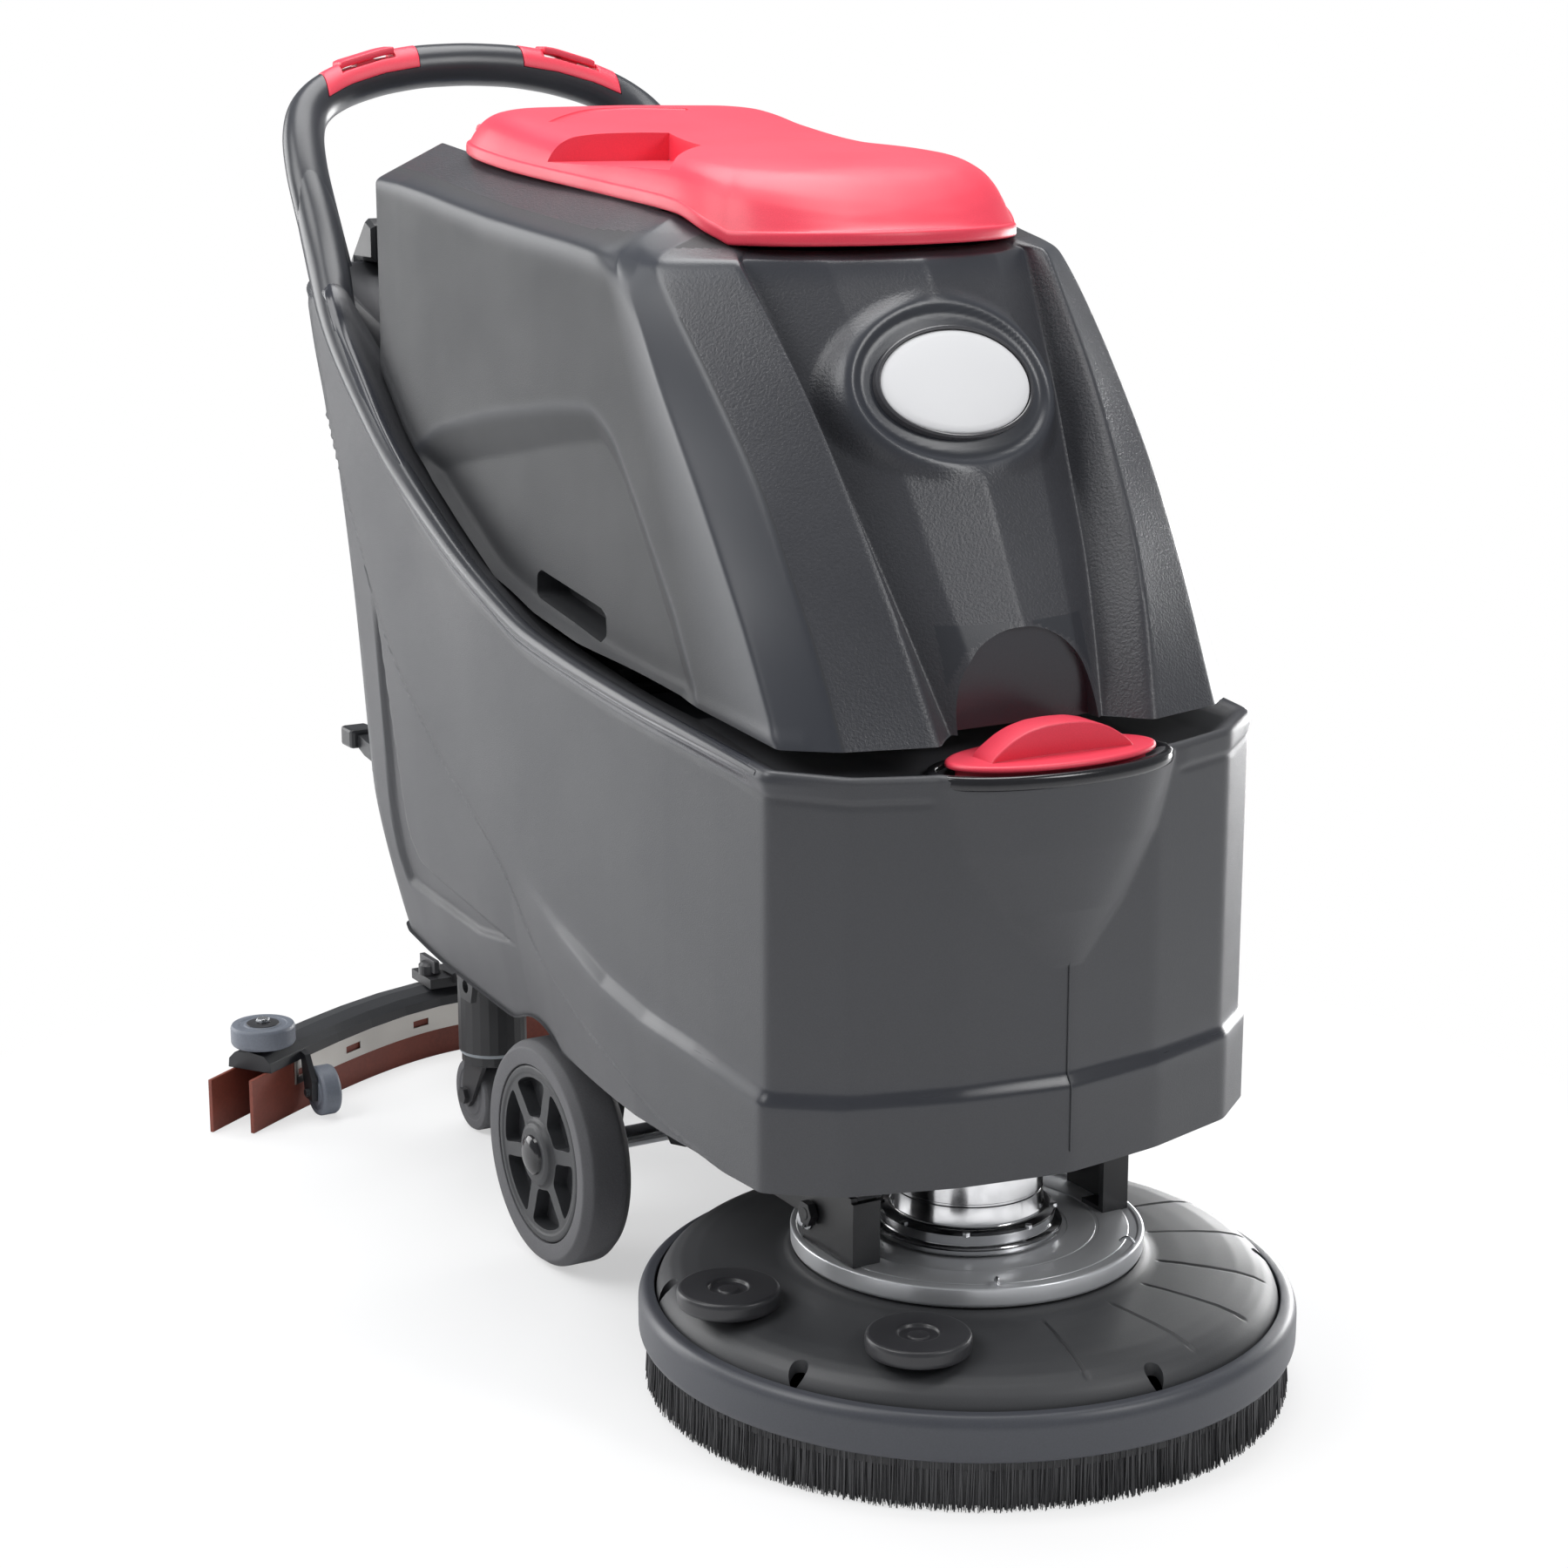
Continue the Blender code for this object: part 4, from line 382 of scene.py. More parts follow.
def mix_colour(tree, factor, a, b):
    a, b = ((*c, 1) if isinstance(c, tuple) else c for c in (a, b))
    return node(tree, "Mix", {0: factor, 6: a, 7: b}, 2, data_type="RGBA")


def ramp(tree, source, low, high, first=0.0, last=1.0):
    """Maps source from low..high to first..last."""
    return node(tree, "MapRange", {0: source, 1: low, 2: high, 3: first, 4: last})


def coordinates(tree, scale=(1, 1, 1)):
    return node(tree, "Mapping", {"Vector": node(tree, "TexCoord", {}, "Object"), "Scale": scale})


def noise(tree, at, scale, detail=2.0, rough=0.5):
    return node(tree, "TexNoise", {"Vector": at, "Scale": scale, "Detail": detail, "Roughness": rough})


def bump(tree, height, strength, distance, edge=0.0):
    """A bumped normal. edge is the radius that sharp edges are softened to."""
    values = {"Height": height, "Strength": strength, "Distance": distance}
    if edge:
        values["Normal"] = node(tree, "Bevel", {"Radius": edge}, samples=4)
    return node(tree, "Bump", values)


def plastic(name, colour, rough=0.5, grain=700.0, strength=0.25, depth=0.0004, mottle=0.12, polished_painted_colour=None,
            polished_rough=0.25, coat=0.0, edge=0.0, specular=0.5, speckle=1.5):
    """Moulded plastic: fine grain, slight mottling, scuffed roughness and, where polish is set, a smooth band painted
    in the polished colour, which stands in for the light that band reflects.
    """
    mat, tree, shader, _ = new_material(name, colour)
    at = coordinates(tree)
    fine = noise(tree, at, grain, 3.0, 0.6)
    broad = noise(tree, at, 7.0, 3.0, 0.6)
    shade = mix_colour(tree, ramp(tree, broad, 0.3, 0.7), tint(colour, 1 - mottle), tint(colour, 1 + mottle))
    shade = mix_colour(tree, ramp(tree, fine, 0.35, 0.75, 0.0, 0.35), shade, tint(colour, speckle))
    roughness = ramp(tree, broad, 0.25, 0.75, rough - 0.05, rough + 0.06)
    # the polished colour is painted light: mixed in by the mask, it paints the reflection that the smooth band shows
    if polished_painted_colour:
        factor = node(tree, "Attribute", {}, "Fac", attribute_name="polish_and_painted_light")
        shade = mix_colour(tree, factor, shade, polished_painted_colour)
        roughness = node(tree, "Mix", {0: factor, 2: roughness, 3: polished_rough})
        strength = ramp(tree, factor, 0.0, 1.0, strength, strength * 0.06)
    feed(tree, shader.inputs, {"Base Color": shade, "Roughness": roughness, "Specular IOR Level": specular,
                               "Normal": bump(tree, fine, strength, depth, edge)})
    if coat:
        feed(tree, shader.inputs, {"Coat Weight": coat, "Coat Roughness": 0.15})
    return mat


def metal(name, colour, rough=0.25, brushed=None, edge=0.0, scratch=0.15):
    """Bare or plated metal. brushed is a scale per axis that stretches the grain."""
    mat, tree, shader, _ = new_material(name, colour)
    grain = noise(tree, coordinates(tree, brushed or (1, 1, 1)), 220.0 if brushed else 60.0, 4.0, 0.65)
    broad = noise(tree, coordinates(tree), 9.0, 2.0)
    feed(tree, shader.inputs, {
        "Base Color": mix_colour(tree, ramp(tree, broad, 0.3, 0.7), tint(colour, 0.88), tint(colour, 1.06)),
        "Roughness": ramp(tree, grain, 0.3, 0.7, max(0.03, rough - 0.06), rough + 0.08),
        "Metallic": 1.0, "Normal": bump(tree, grain, scratch, 0.0002, edge)})
    return mat


def turned_metal(name, colour, rough):
    """Metal faced on a lathe about the brush axis: fine rings and a satin sheen."""
    mat, tree, shader, _ = new_material(name, colour)
    at = coordinates(tree)
    centred = node(tree, "VectorMath", {0: at, 1: DECK_AXIS}, operation="SUBTRACT")
    level = node(tree, "VectorMath", {0: centred, 1: (1.0, 1.0, 0.0)}, operation="MULTIPLY")
    radius = node(tree, "VectorMath", {0: level}, "Value", operation="LENGTH")
    phase = node(tree, "Math", {0: radius, 1: 5200.0}, operation="MULTIPLY")
    rings = node(tree, "Math", {0: phase}, operation="SINE")
    broad = noise(tree, at, 14.0, 2.0)
    feed(tree, shader.inputs, {
        "Base Color": mix_colour(tree, ramp(tree, broad, 0.3, 0.7), tint(colour, 0.92), colour),
        "Roughness": ramp(tree, broad, 0.3, 0.7, rough - 0.03, rough + 0.05),
        "Metallic": 0.55, "Normal": bump(tree, rings, 0.10, 0.00005)})
    return mat


M = {
    # its polished colour, darker and bluer than the base, is a painted dark reflection on the rim band and the waist
    # step
    "tank": plastic("rotomoulded charcoal", (0.047, 0.048, 0.053), 0.50, 900.0, 0.35, 0.0005, 0.06,
                    polished_painted_colour=(0.030, 0.032, 0.040), polished_rough=0.22),
    # a darker copy of the tank plastic for the recovery tank, darkened as painted shade; its lighter polished colour is
    # a painted highlight on the bend, ledge and shoulder
    "tank_upper_painted_darker": plastic("rotomoulded charcoal, upper", (0.025, 0.026, 0.029), 0.60, 900.0, 0.35, 0.0005, 0.06,
                          polished_painted_colour=(0.036, 0.039, 0.048), polished_rough=0.34),
    # its polished colour, a little darker and bluer, is painted shade on the front, in the moat round the badge
    "tank_coarse": plastic("orange peel charcoal", (0.042, 0.043, 0.049), 0.36, 430.0, 0.60, 0.0008, 0.06,
                           polished_painted_colour=(0.036, 0.039, 0.048), polished_rough=0.30),
    "handle": plastic("smooth handle charcoal", (0.032, 0.034, 0.040), 0.30, 900.0, 0.14, 0.0003, 0.05),
    "dark": plastic("matt black moulding", (0.020, 0.020, 0.022), 0.55, 800.0, 0.3, edge=0.0010),
    "black": plastic("satin black moulding", (0.022, 0.023, 0.026), 0.40, 900.0, 0.22, edge=0.0010),
    "cover": plastic("deck cover black", (0.038, 0.039, 0.042), 0.50, 1000.0, 0.25, mottle=0.08),
    "gloss": plastic("polished black rim", (0.014, 0.014, 0.016), 0.16, 300.0, 0.03),
    "red": plastic("red moulding", (0.72, 0.042, 0.078), 0.42, 1100.0, 0.16, 0.0003, 0.05, edge=0.0008),
    "ring": plastic("slate bumper", (0.050, 0.053, 0.063), 0.40, 700.0, 0.15, mottle=0.06),
    "knob": plastic("knob black", (0.026, 0.026, 0.029), 0.38, 900.0, 0.25),
    "white": plastic("enamelled plate", (0.76, 0.76, 0.77), 0.48, 300.0, 0.01, mottle=0.01, speckle=1.0, specular=0.3),
    "bezel": plastic("thin bezel", (0.05, 0.05, 0.055), 0.22, 600.0, 0.05),
    "battery": plastic("battery case", (0.030, 0.032, 0.037), 0.5, 500.0, 0.3, edge=0.0015),
    "screen": plastic("display window", (0.020, 0.040, 0.050), 0.10, 200.0, 0.02, coat=0.6),
    "green": plastic("green button", (0.05, 0.32, 0.10), 0.3, 500.0, 0.08),
    "blue": plastic("blue control", (0.03, 0.15, 0.42), 0.35, 500.0, 0.1, edge=0.0008),
    "tyre": plastic("tyre rubber", (0.090, 0.090, 0.096), 0.68, 600.0, 0.45, 0.0005, 0.12),
    "rim": plastic("wheel moulding", (0.026, 0.027, 0.030), 0.50, 700.0, 0.25, edge=0.0008),
    "roller": plastic("grey roller rubber", (0.130, 0.145, 0.175), 0.48, 500.0, 0.3, mottle=0.1),
    "blade": plastic("gum rubber blade", (0.195, 0.045, 0.028), 0.55, 260.0, 0.2, mottle=0.22),
    "bristle": plastic("nylon bristle", (0.050, 0.050, 0.053), 0.45, 400.0, 0.1),
    "powder": plastic("black powder coat", (0.018, 0.018, 0.020), 0.42, 1300.0, 0.35, edge=0.0008),
    "plate": turned_metal("turned aluminium", (0.70, 0.71, 0.73), 0.34),
    "chrome": metal("plated can", (0.72, 0.72, 0.73), 0.16, scratch=0.02),
    "steel": metal("bright steel", (0.62, 0.63, 0.65), 0.22, edge=0.0006),
    "stainless": metal("stainless strap", (0.55, 0.53, 0.50), 0.34, (14, 1, 1), edge=0.0006),
    "ringgrey": plastic("grey swivel ring", (0.22, 0.24, 0.26), 0.4, 500.0, 0.15),
}


# ---------------------------------------------------------------- shared tables, y is deck based
RIM = [(-0.60, 0.532), (-0.466, 0.5465), (-0.3556, 0.557), (-0.2585, 0.565), (-0.150, 0.5765),
       (-0.0455, 0.591), (0.0184, 0.612), (0.0903, 0.640), (0.1834, 0.686), (0.245, 0.726), (0.300, 0.772),
       (0.351, 0.818), (0.372, 0.850), (0.420, 0.862), (0.600, 0.862)]
SEAT = [(-0.60, 0.532), (-0.466, 0.545), (-0.358, 0.552), (-0.212, 0.560), (-0.049, 0.580),
       (0.039, 0.597), (0.130, 0.640), (0.224, 0.695), (0.272, 0.735), (0.322, 0.782),
       (0.351, 0.816), (0.372, 0.850), (0.420, 0.862), (0.600, 0.862)]
LEAN = [(0.217, -0.010), (0.29, 0.0), (0.40, 0.025), (0.56, 0.055), (0.66, 0.080), (0.73, 0.100),
        (0.79, 0.125), (0.87, 0.150)]
CREASE = [(-0.46, 0.299), (-0.35, 0.311), (-0.27, 0.316), (-0.20, 0.327), (-0.11, 0.352), (0.0, 0.39)]
BASE = [(-0.53, 0.2185), (0.05, 0.220), (0.20, 0.230), (0.34, 0.246)]
PLAN = [(0, -0.528, 0), (0.090, -0.516, 0), (0.175, -0.492, 0), (0.2245, -0.4535, 0),
        (0.228, -0.38, 0), (0.2305, -0.30, 0), (0.2314, -0.21, 0), (0.2314, -0.11, 0),
        (0.2314, -0.01, 0.05), (0.2314, 0.06, 0.15), (0.2314, 0.12, 0.35), (0.2314, 0.18, 0.60),
        (0.2304, 0.235, 0.85), (0.228, 0.285, 1), (0.216, 0.322, 1), (0.190, 0.338, 1),
        (0.120, 0.345, 1), (0, 0.345, 1)]
FRONT = [(0.560, -0.497, 0.071, -0.463, 0.098, -0.495, 0.173, -0.474, 0.2085, -0.443),
         (0.635, -0.458, 0.087, -0.425, 0.110, -0.464, 0.176, -0.436, 0.2085, -0.396),
         (0.680, -0.434, 0.096, -0.400, 0.117, -0.441, 0.179, -0.409, 0.2085, -0.363),
         (0.740, -0.403, 0.106, -0.362, 0.124, -0.404, 0.182, -0.370, 0.2085, -0.317),
         (0.810, -0.365, 0.119, -0.316, 0.132, -0.355, 0.188, -0.310, 0.2080, -0.259),
         (0.870, -0.333, 0.127, -0.277, 0.139, -0.303, 0.193, -0.252, 0.2075, -0.213),
         (0.906, -0.312, 0.133, -0.252, 0.144, -0.270, 0.196, -0.215, 0.2070, -0.172)]
SHOULDER = [(-0.17, 0.908), (0.057, 0.926), (0.303, 0.949), (0.335, 0.946), (0.385, 0.921), (0.43, 0.896)]
CROWN = [(-0.31, 0.905), (-0.259, 0.906), (-0.223, 0.920), (-0.173, 0.936), (-0.05, 0.945),
         (0.119, 0.9585), (0.229, 0.972), (0.306, 0.981), (0.350, 0.962), (0.400, 0.930)]
TANK_SIDES = [-0.10, -0.02, 0.06, 0.13, 0.19, 0.25, 0.303, 0.335, 0.365, 0.385]
LID_PLAN = [(0, -0.306), (0.050, -0.299), (0.095, -0.281), (0.128, -0.252), (0.146, -0.215),
            (0.149, -0.173), (0.150, -0.130), (0.148, -0.050), (0.151, 0.020), (0.157, 0.110),
            (0.160, 0.190), (0.152, 0.228), (0.125, 0.245), (0, 0.251)]
LID_CROWN = [(-0.31, 0.914), (-0.28, 0.955), (-0.228, 0.980), (-0.13, 0.987), (-0.028, 0.990),
             (0.10, 1.002), (0.19, 1.018), (0.235, 1.026), (0.26, 1.020)]
LID_BAND = 0.0112
LID_SWELL = [(0.0, 1.0), (0.28, 0.995), (0.60, 0.955), (0.80, 0.85), (0.885, 0.68), (0.932, 0.47),
             (0.962, 0.24), (0.984, 0.02)]
BAR = [(0.0, 0.556, 1.049), (0.050, 0.556, 1.047), (0.095, 0.555, 1.040), (0.135, 0.551, 1.029),
       (0.164, 0.543, 1.016), (0.184, 0.529, 1.000), (0.196, 0.508, 0.978), (0.202, 0.484, 0.948),
       (0.204, 0.458, 0.912), (0.204, 0.436, 0.876), (0.203, 0.422, 0.850)]
NECK_Y, NECK_HALF = -0.498, 0.108
BODY_HALF = 0.2314

seat_at = curve(SEAT)
rim_at, lean_at, crease_at, base_at = curve(RIM), curve(LEAN), line(CREASE), line(BASE)
crown_at, shoulder_at, lid_crown_at = curve(CROWN), curve(SHOULDER), curve(LID_CROWN)


# ---------------------------------------------------------------- lower tank
def wall_point(row, z, out):
    """The lower tank's wall, moved outwards by out. row holds x, y and share of the lean."""
    x, y, share = row[..., 0], row[..., 1], row[..., 2]
    lean = lean_at(z) * share
    ahead = np.minimum(0.0, y + 0.42)
    length = np.hypot(x, ahead)
    push_y = np.where(length > 1e-9, out * ahead / np.maximum(length, 1e-9), 0.0)
    rear = out * step(0.30, 0.335, y)
    return np.stack([x + out * x / BODY_HALF, y + lean + push_y + rear, z + 0 * x], axis=-1)


def lower_tank():
    ring = resample(mirror_ring(PLAN), 760, closed=True)
    ring = smooth_axis(ring, 1.2, 0, True)
    z = rim_at(ring[:, 1])
    for _ in range(14):
        z = 0.5 * (z + rim_at(wall_point(ring, z, 0 * z)[:, 1]))
    top = z - 0.004
    base = base_at(ring[:, 1])
    ahead = ring[:, 1] + 0.017
    arch = 0.103 + np.sqrt(np.maximum(0.0, 0.129 ** 2 - ahead ** 2))
    base = np.where((np.abs(ring[:, 0]) > 0.15), np.maximum(base, arch), base)
    base = smooth_axis(base, 1.0, 0, True)
    fade = step(0.0, -0.20, ring[:, 1])
    taper = 0.022 * np.clip((ring[:, 1] + 0.25) / 0.25, 0, 1)
    crease = crease_at(ring[:, 1])
    share = np.concatenate([np.linspace(0, 0.30, 60, endpoint=False), np.linspace(0.30, 1, 150)])
    rows, polish_and_painted_light = [], []
    side = step(-0.50, -0.40, ring[:, 1])
    rearward = step(-0.10, 0.25, ring[:, 1])
    bead_r = 0.0052 + 0.0035 * rearward
    groove = softened_polygon([(0.300, 0.600), (0.281, 0.470), (0.262, 0.322), (0.248, 0.296),
                               (0.088, 0.286), (0.000, 0.297), (0.125, 0.316), (0.204, 0.328),
                               (0.223, 0.348), (0.262, 0.474)], 0.003, 0.004)
    parting_y = curve([(-0.44, 0.216), (-0.326, 0.228), (-0.204, 0.258), (-0.073, 0.303),
                       (0.013, 0.376), (0.14, 0.448), (0.246, 0.527), (0.332, 0.638), (0.39, 0.722)])
    for s in share:
        z = base + s * (top - base)
        y = wall_point(ring, z, 0 * z)[:, 1]
        push = 0.006 * fade * (1 - step(-0.0125, 0.0005, z - crease))
        below = np.clip((crease - 0.012 - z) / np.maximum(crease - 0.012 - base, 1e-6), 0, 1)
        push = push - taper * below ** 1.6
        # the rolled bead along the rim, which thickens towards the handle
        up = (top - z) / bead_r
        push = push + 0.0034 * side * np.exp(-((up - 0.9) / 0.85) ** 2)
        push = push + groove_line(up - 2.9, 0.55, 0.0012) * side
        # the front keeps a flat band above a soft line
        band = (1 - side) * step(0.108, 0.122, np.abs(ring[:, 0]))
        push = push + groove_line((top - z - 0.017) / 0.003, 1.0, 0.0014) * band
        push = push + 0.0016 * band * (1 - step(0.012, 0.017, top - z))
        flat = np.abs(ring[:, 0]) > 0.19
        inset = inside_distance(np.stack([y, z], axis=-1), groove)
        push = push - 0.0055 * step(-0.0005, 0.006, inset) * flat
        # below the parting line the side turns in a little
        under = parting_y(y) - z
        push = push - 0.0044 * step(0.0, 0.005, under) * flat * step(-0.44, -0.36, y)
        push = push + 0.0012 * np.exp(-(under / 0.0018) ** 2) * flat * step(-0.44, -0.36, y)
        p = wall_point(ring, z, push)
        # the filling neck swells out of the front
        neck_z = np.array([0.385, 0.43, 0.48, 0.532])
        half = np.interp(z, neck_z, [0.014, 0.058, 0.090, NECK_HALF])
        depth = np.interp(z, neck_z, [0.008, 0.034, 0.045, 0.0495])
        middle = np.interp(z, neck_z, [-0.516, -0.504, -0.499, NECK_Y])
        share_x = np.clip(1 - (p[:, 0] / half) ** 2, 0, 1)
        neck = middle - depth * np.sqrt(share_x)
        neck = np.where((z > 0.385) & (share_x > 0) & (ring[:, 1] < -0.40), neck, 1.0)
        soft = 0.010
        gap = np.clip((p[:, 1] - neck) / soft, -1, 1)
        blend_y = np.where(gap >= 1, neck, np.where(gap <= -1, p[:, 1],
                           0.5 * (p[:, 1] + neck) - 0.25 * soft * (1 + gap ** 2)))
        p[:, 1] = np.where(neck < 0.5, np.minimum(p[:, 1], blend_y), p[:, 1])
        rows.append(p)
        # the rim band and the waist step are smoother, and the mask also paints them in the darker polished colour as a
        # painted dark reflection
        rim_polish_painted_dark = side * step(3.4, 2.4, up)
        waist = fade * np.exp(-((z - crease + 0.006) / 0.010) ** 2)
        polish_and_painted_light.append(np.clip(rim_polish_painted_dark + 0.8 * waist, 0, 1))
    wall_top = rows[-1]
    lead = []
    # underside: a rounded edge, the keel, then the well over the brush motor
    for inward, lift in ((0.0105, 0.0), (0.0065, -0.0003), (0.003, 0.0004), (0.0008, 0.0016)):
        p = wall_point(ring, base, -inward - taper)
        p[:, 2] = base + lift - 0.0016
        lead.append(p)
    keel = np.stack([lead[0][:, 0] * 0.67, lead[0][:, 1] * 0.93, np.full(len(ring), 0.2172)], axis=-1)
    angle = np.unwrap(np.arctan2(keel[:, 1] - DECK_Y, keel[:, 0]))
    well_x = np.clip(0.20 * np.cos(angle), -0.158, 0.158)
    well_y = np.clip(DECK_Y + 0.20 * np.sin(angle), -0.486, -0.296)
    well = [np.stack([well_x, well_y, np.full(len(ring), z)], axis=-1) for z in (0.345, 0.2176)]
    closing = well[0].copy()
    closing[:, 0] *= 0.02
    closing[:, 1] = -0.391 + (closing[:, 1] + 0.391) * 0.02
    lead = [closing, *well, keel] + lead
    # top: rounded over, in across the deck, and down into the battery bay
    tail = []
    for inward, lift in ((0.0012, 0.0026), (0.0040, 0.0040), (0.0075, 0.0038), (0.014, 0.0015), (0.0195, -0.002)):
        p = wall_top.copy()
        centre = np.stack([np.zeros(len(ring)), np.clip(p[:, 1], -0.36, 0.26)], axis=-1)
        away = p[:, :2] - centre
        away /= np.linalg.norm(away, axis=1)[:, None]
        p[:, :2] -= away * inward
        p[:, 2] += lift
        tail.append(p)
    square = np.stack([np.clip(wall_top[:, 0] * 1.4, -0.180, 0.180),
                       np.clip(-0.02 + (wall_top[:, 1] + 0.02) * 0.78, -0.265, 0.352)], axis=-1)
    mouth = np.concatenate([square, seat_at(square[:, 1])[:, None] - 0.010], axis=1)
    for drop in (0.0, 0.004):
        p = mouth.copy()
        p[:, 2] -= drop
        tail.append(p)
    floor = np.concatenate([square, np.full((len(ring), 1), 0.300)], axis=1)
    tail.append(floor)
    end = floor.copy()
    end[:, 0] *= 0.02
    end[:, 1] = -0.02 + (end[:, 1] + 0.02) * 0.02
    tail.append(end)
    grid = into_handle(np.array(lead + rows + tail))
    grid = shifted(grid)
    polish_and_painted_light = np.array([np.zeros(len(ring))] * len(lead) + polish_and_painted_light + [polish_and_painted_light[-1]] * 3
                      + [np.zeros(len(ring))] * (len(tail) - 3))
    tank = grid_object("lower_tank", grid.transpose(1, 0, 2), "tank", "chassis",
                       caps=False, sharp=50, polish_and_painted_light=polish_and_painted_light.T)
    close_ends(tank)
    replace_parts(tank, "solution_tank")


RIM_BEAD = [(0.2040, 0.484, 0.948, 0.0160), (0.2042, 0.470, 0.930, 0.0185), (0.2045, 0.452, 0.904, 0.0205),
            (0.2070, 0.430, 0.876, 0.0207), (0.2125, 0.405, 0.850, 0.0200), (0.2175, 0.386, 0.832, 0.0190),
            (0.2210, 0.3645, 0.8075, 0.0170), (0.2232, 0.3324, 0.778, 0.0150), (0.2250, 0.288, 0.743, 0.0128),
            (0.2262, 0.236, 0.7035, 0.0112), (0.2268, 0.1834, 0.6755, 0.0100), (0.2274, 0.0903, 0.6310, 0.0088),
            (0.2277, 0.0184, 0.6045, 0.0080), (0.2280, -0.0455, 0.5840, 0.0074), (0.2281, -0.150, 0.5700, 0.0070),
            (0.2280, -0.2585, 0.5592, 0.0066), (0.2258, -0.3556, 0.5512, 0.0060), (0.2222, -0.4400, 0.5424, 0.0054)]


def into_handle(grid):
    """Draws the tank's two upper rear corners in, so that they end inside the round edge there."""
    bead = np.array(RIM_BEAD)[::-1]
    z = grid[..., 2]
    share = 0.78 * step(0.836, 0.866, z) * step(0.150, 0.185, np.abs(grid[..., 0])) * step(0.34, 0.38, grid[..., 1])
    centre_x = np.sign(grid[..., 0]) * np.interp(z, bead[:, 2], bead[:, 0])
    centre_y = np.interp(z, bead[:, 2], bead[:, 1])
    grid[..., 0] += share * (centre_x - grid[..., 0])
    grid[..., 1] += share * (centre_y - grid[..., 1])
    return grid


def rim_bead(side, where):
    """The round edge that runs from the front corner up the tank's side and into the handle."""
    table = resample(np.array([(row[1], row[2], row[0], row[3]) for row in RIM_BEAD]), 260)
    y, z, x, radius = smooth_axis(table, 6.0, 0, False).T
    grid = rings_along(shifted(np.stack([side * x, y, z], axis=-1)), radius, radius, 28, (0.0, 0.0, 1.0))
    grid_object("rim_bead_" + where, grid, "handle", "chassis", 60, caps=True)


# ---------------------------------------------------------------- recovery tank
def tank_ring(s):
    """One ring of the recovery tank, at share s of its height, with its feature columns."""
    z = 0.560 + s * 0.346
    row = [curve(FRONT, k)(z) for k in range(1, 10)]
    middle, ex, ey, ix, iy, ox, oy, sx, sy = row
    half = [(0, middle, z), (0.6 * ex, middle + 0.36 * (ey - middle), z), (ex, ey, z), (ix, iy, z),
            (ox, oy, z), (sx, sy, z)]
    for y in TANK_SIDES:
        low, high = float(seat_at(y)) + 0.012, float(shoulder_at(y))
        half.append((0.208 - 0.5 * max(0.0, y - 0.30), y, low + (high - low) * s))
    low = float(seat_at(0.392)) + 0.012
    half += [(0.150, 0.398, low + (0.918 - low) * s), (0.0, 0.398, low + (0.918 - low) * s)]
    return half


CROWN_RING = [(0, -0.285, 0.912), (0.075, -0.268, 0.912), (0.118, -0.240, 0.913), (0.130, -0.232, 0.916),
              (0.140, -0.205, 0.925), (0.1446, -0.165, 0.9365)]
CROWN_RING += [(0.1446, min(y, 0.35) - 0.012, float(crown_at(min(y, 0.35)))) for y in TANK_SIDES]
CROWN_RING += [(0.120, 0.345, 0.962), (0.0, 0.345, 0.962)]
RING_COUNTS = [30, 24, 10, 22, 16, 96, 24, 24, 22, 18, 18, 16, 10, 8, 8, 18, 40]
SCALLOP_OUT = [(0.262, 0.690), (0.180, 0.735), (0.066, 0.760), (-0.073, 0.780), (-0.138, 0.785),
               (-0.176, 0.765), (-0.228, 0.702), (-0.278, 0.640), (-0.325, 0.560), (-0.30, 0.50),
               (0.10, 0.50), (0.262, 0.600)]
SCALLOP_IN = [(0.245, 0.676), (0.160, 0.703), (0.060, 0.722), (-0.060, 0.745), (-0.135, 0.757),
              (-0.166, 0.735), (-0.212, 0.676), (-0.252, 0.620), (-0.290, 0.560), (-0.27, 0.50),
              (0.10, 0.50), (0.245, 0.600)]


def dense_ring(half):
    """The half ring with a fixed count of points between feature columns, then mirrored."""
    out = []
    for (a, b), count in zip(zip(half, half[1:]), RING_COUNTS):
        a, b = np.array(a, float), np.array(b, float)
        out += [a + (b - a) * i / count for i in range(count)]
    out.append(np.array(half[-1], float))
    return mirror_ring(out)


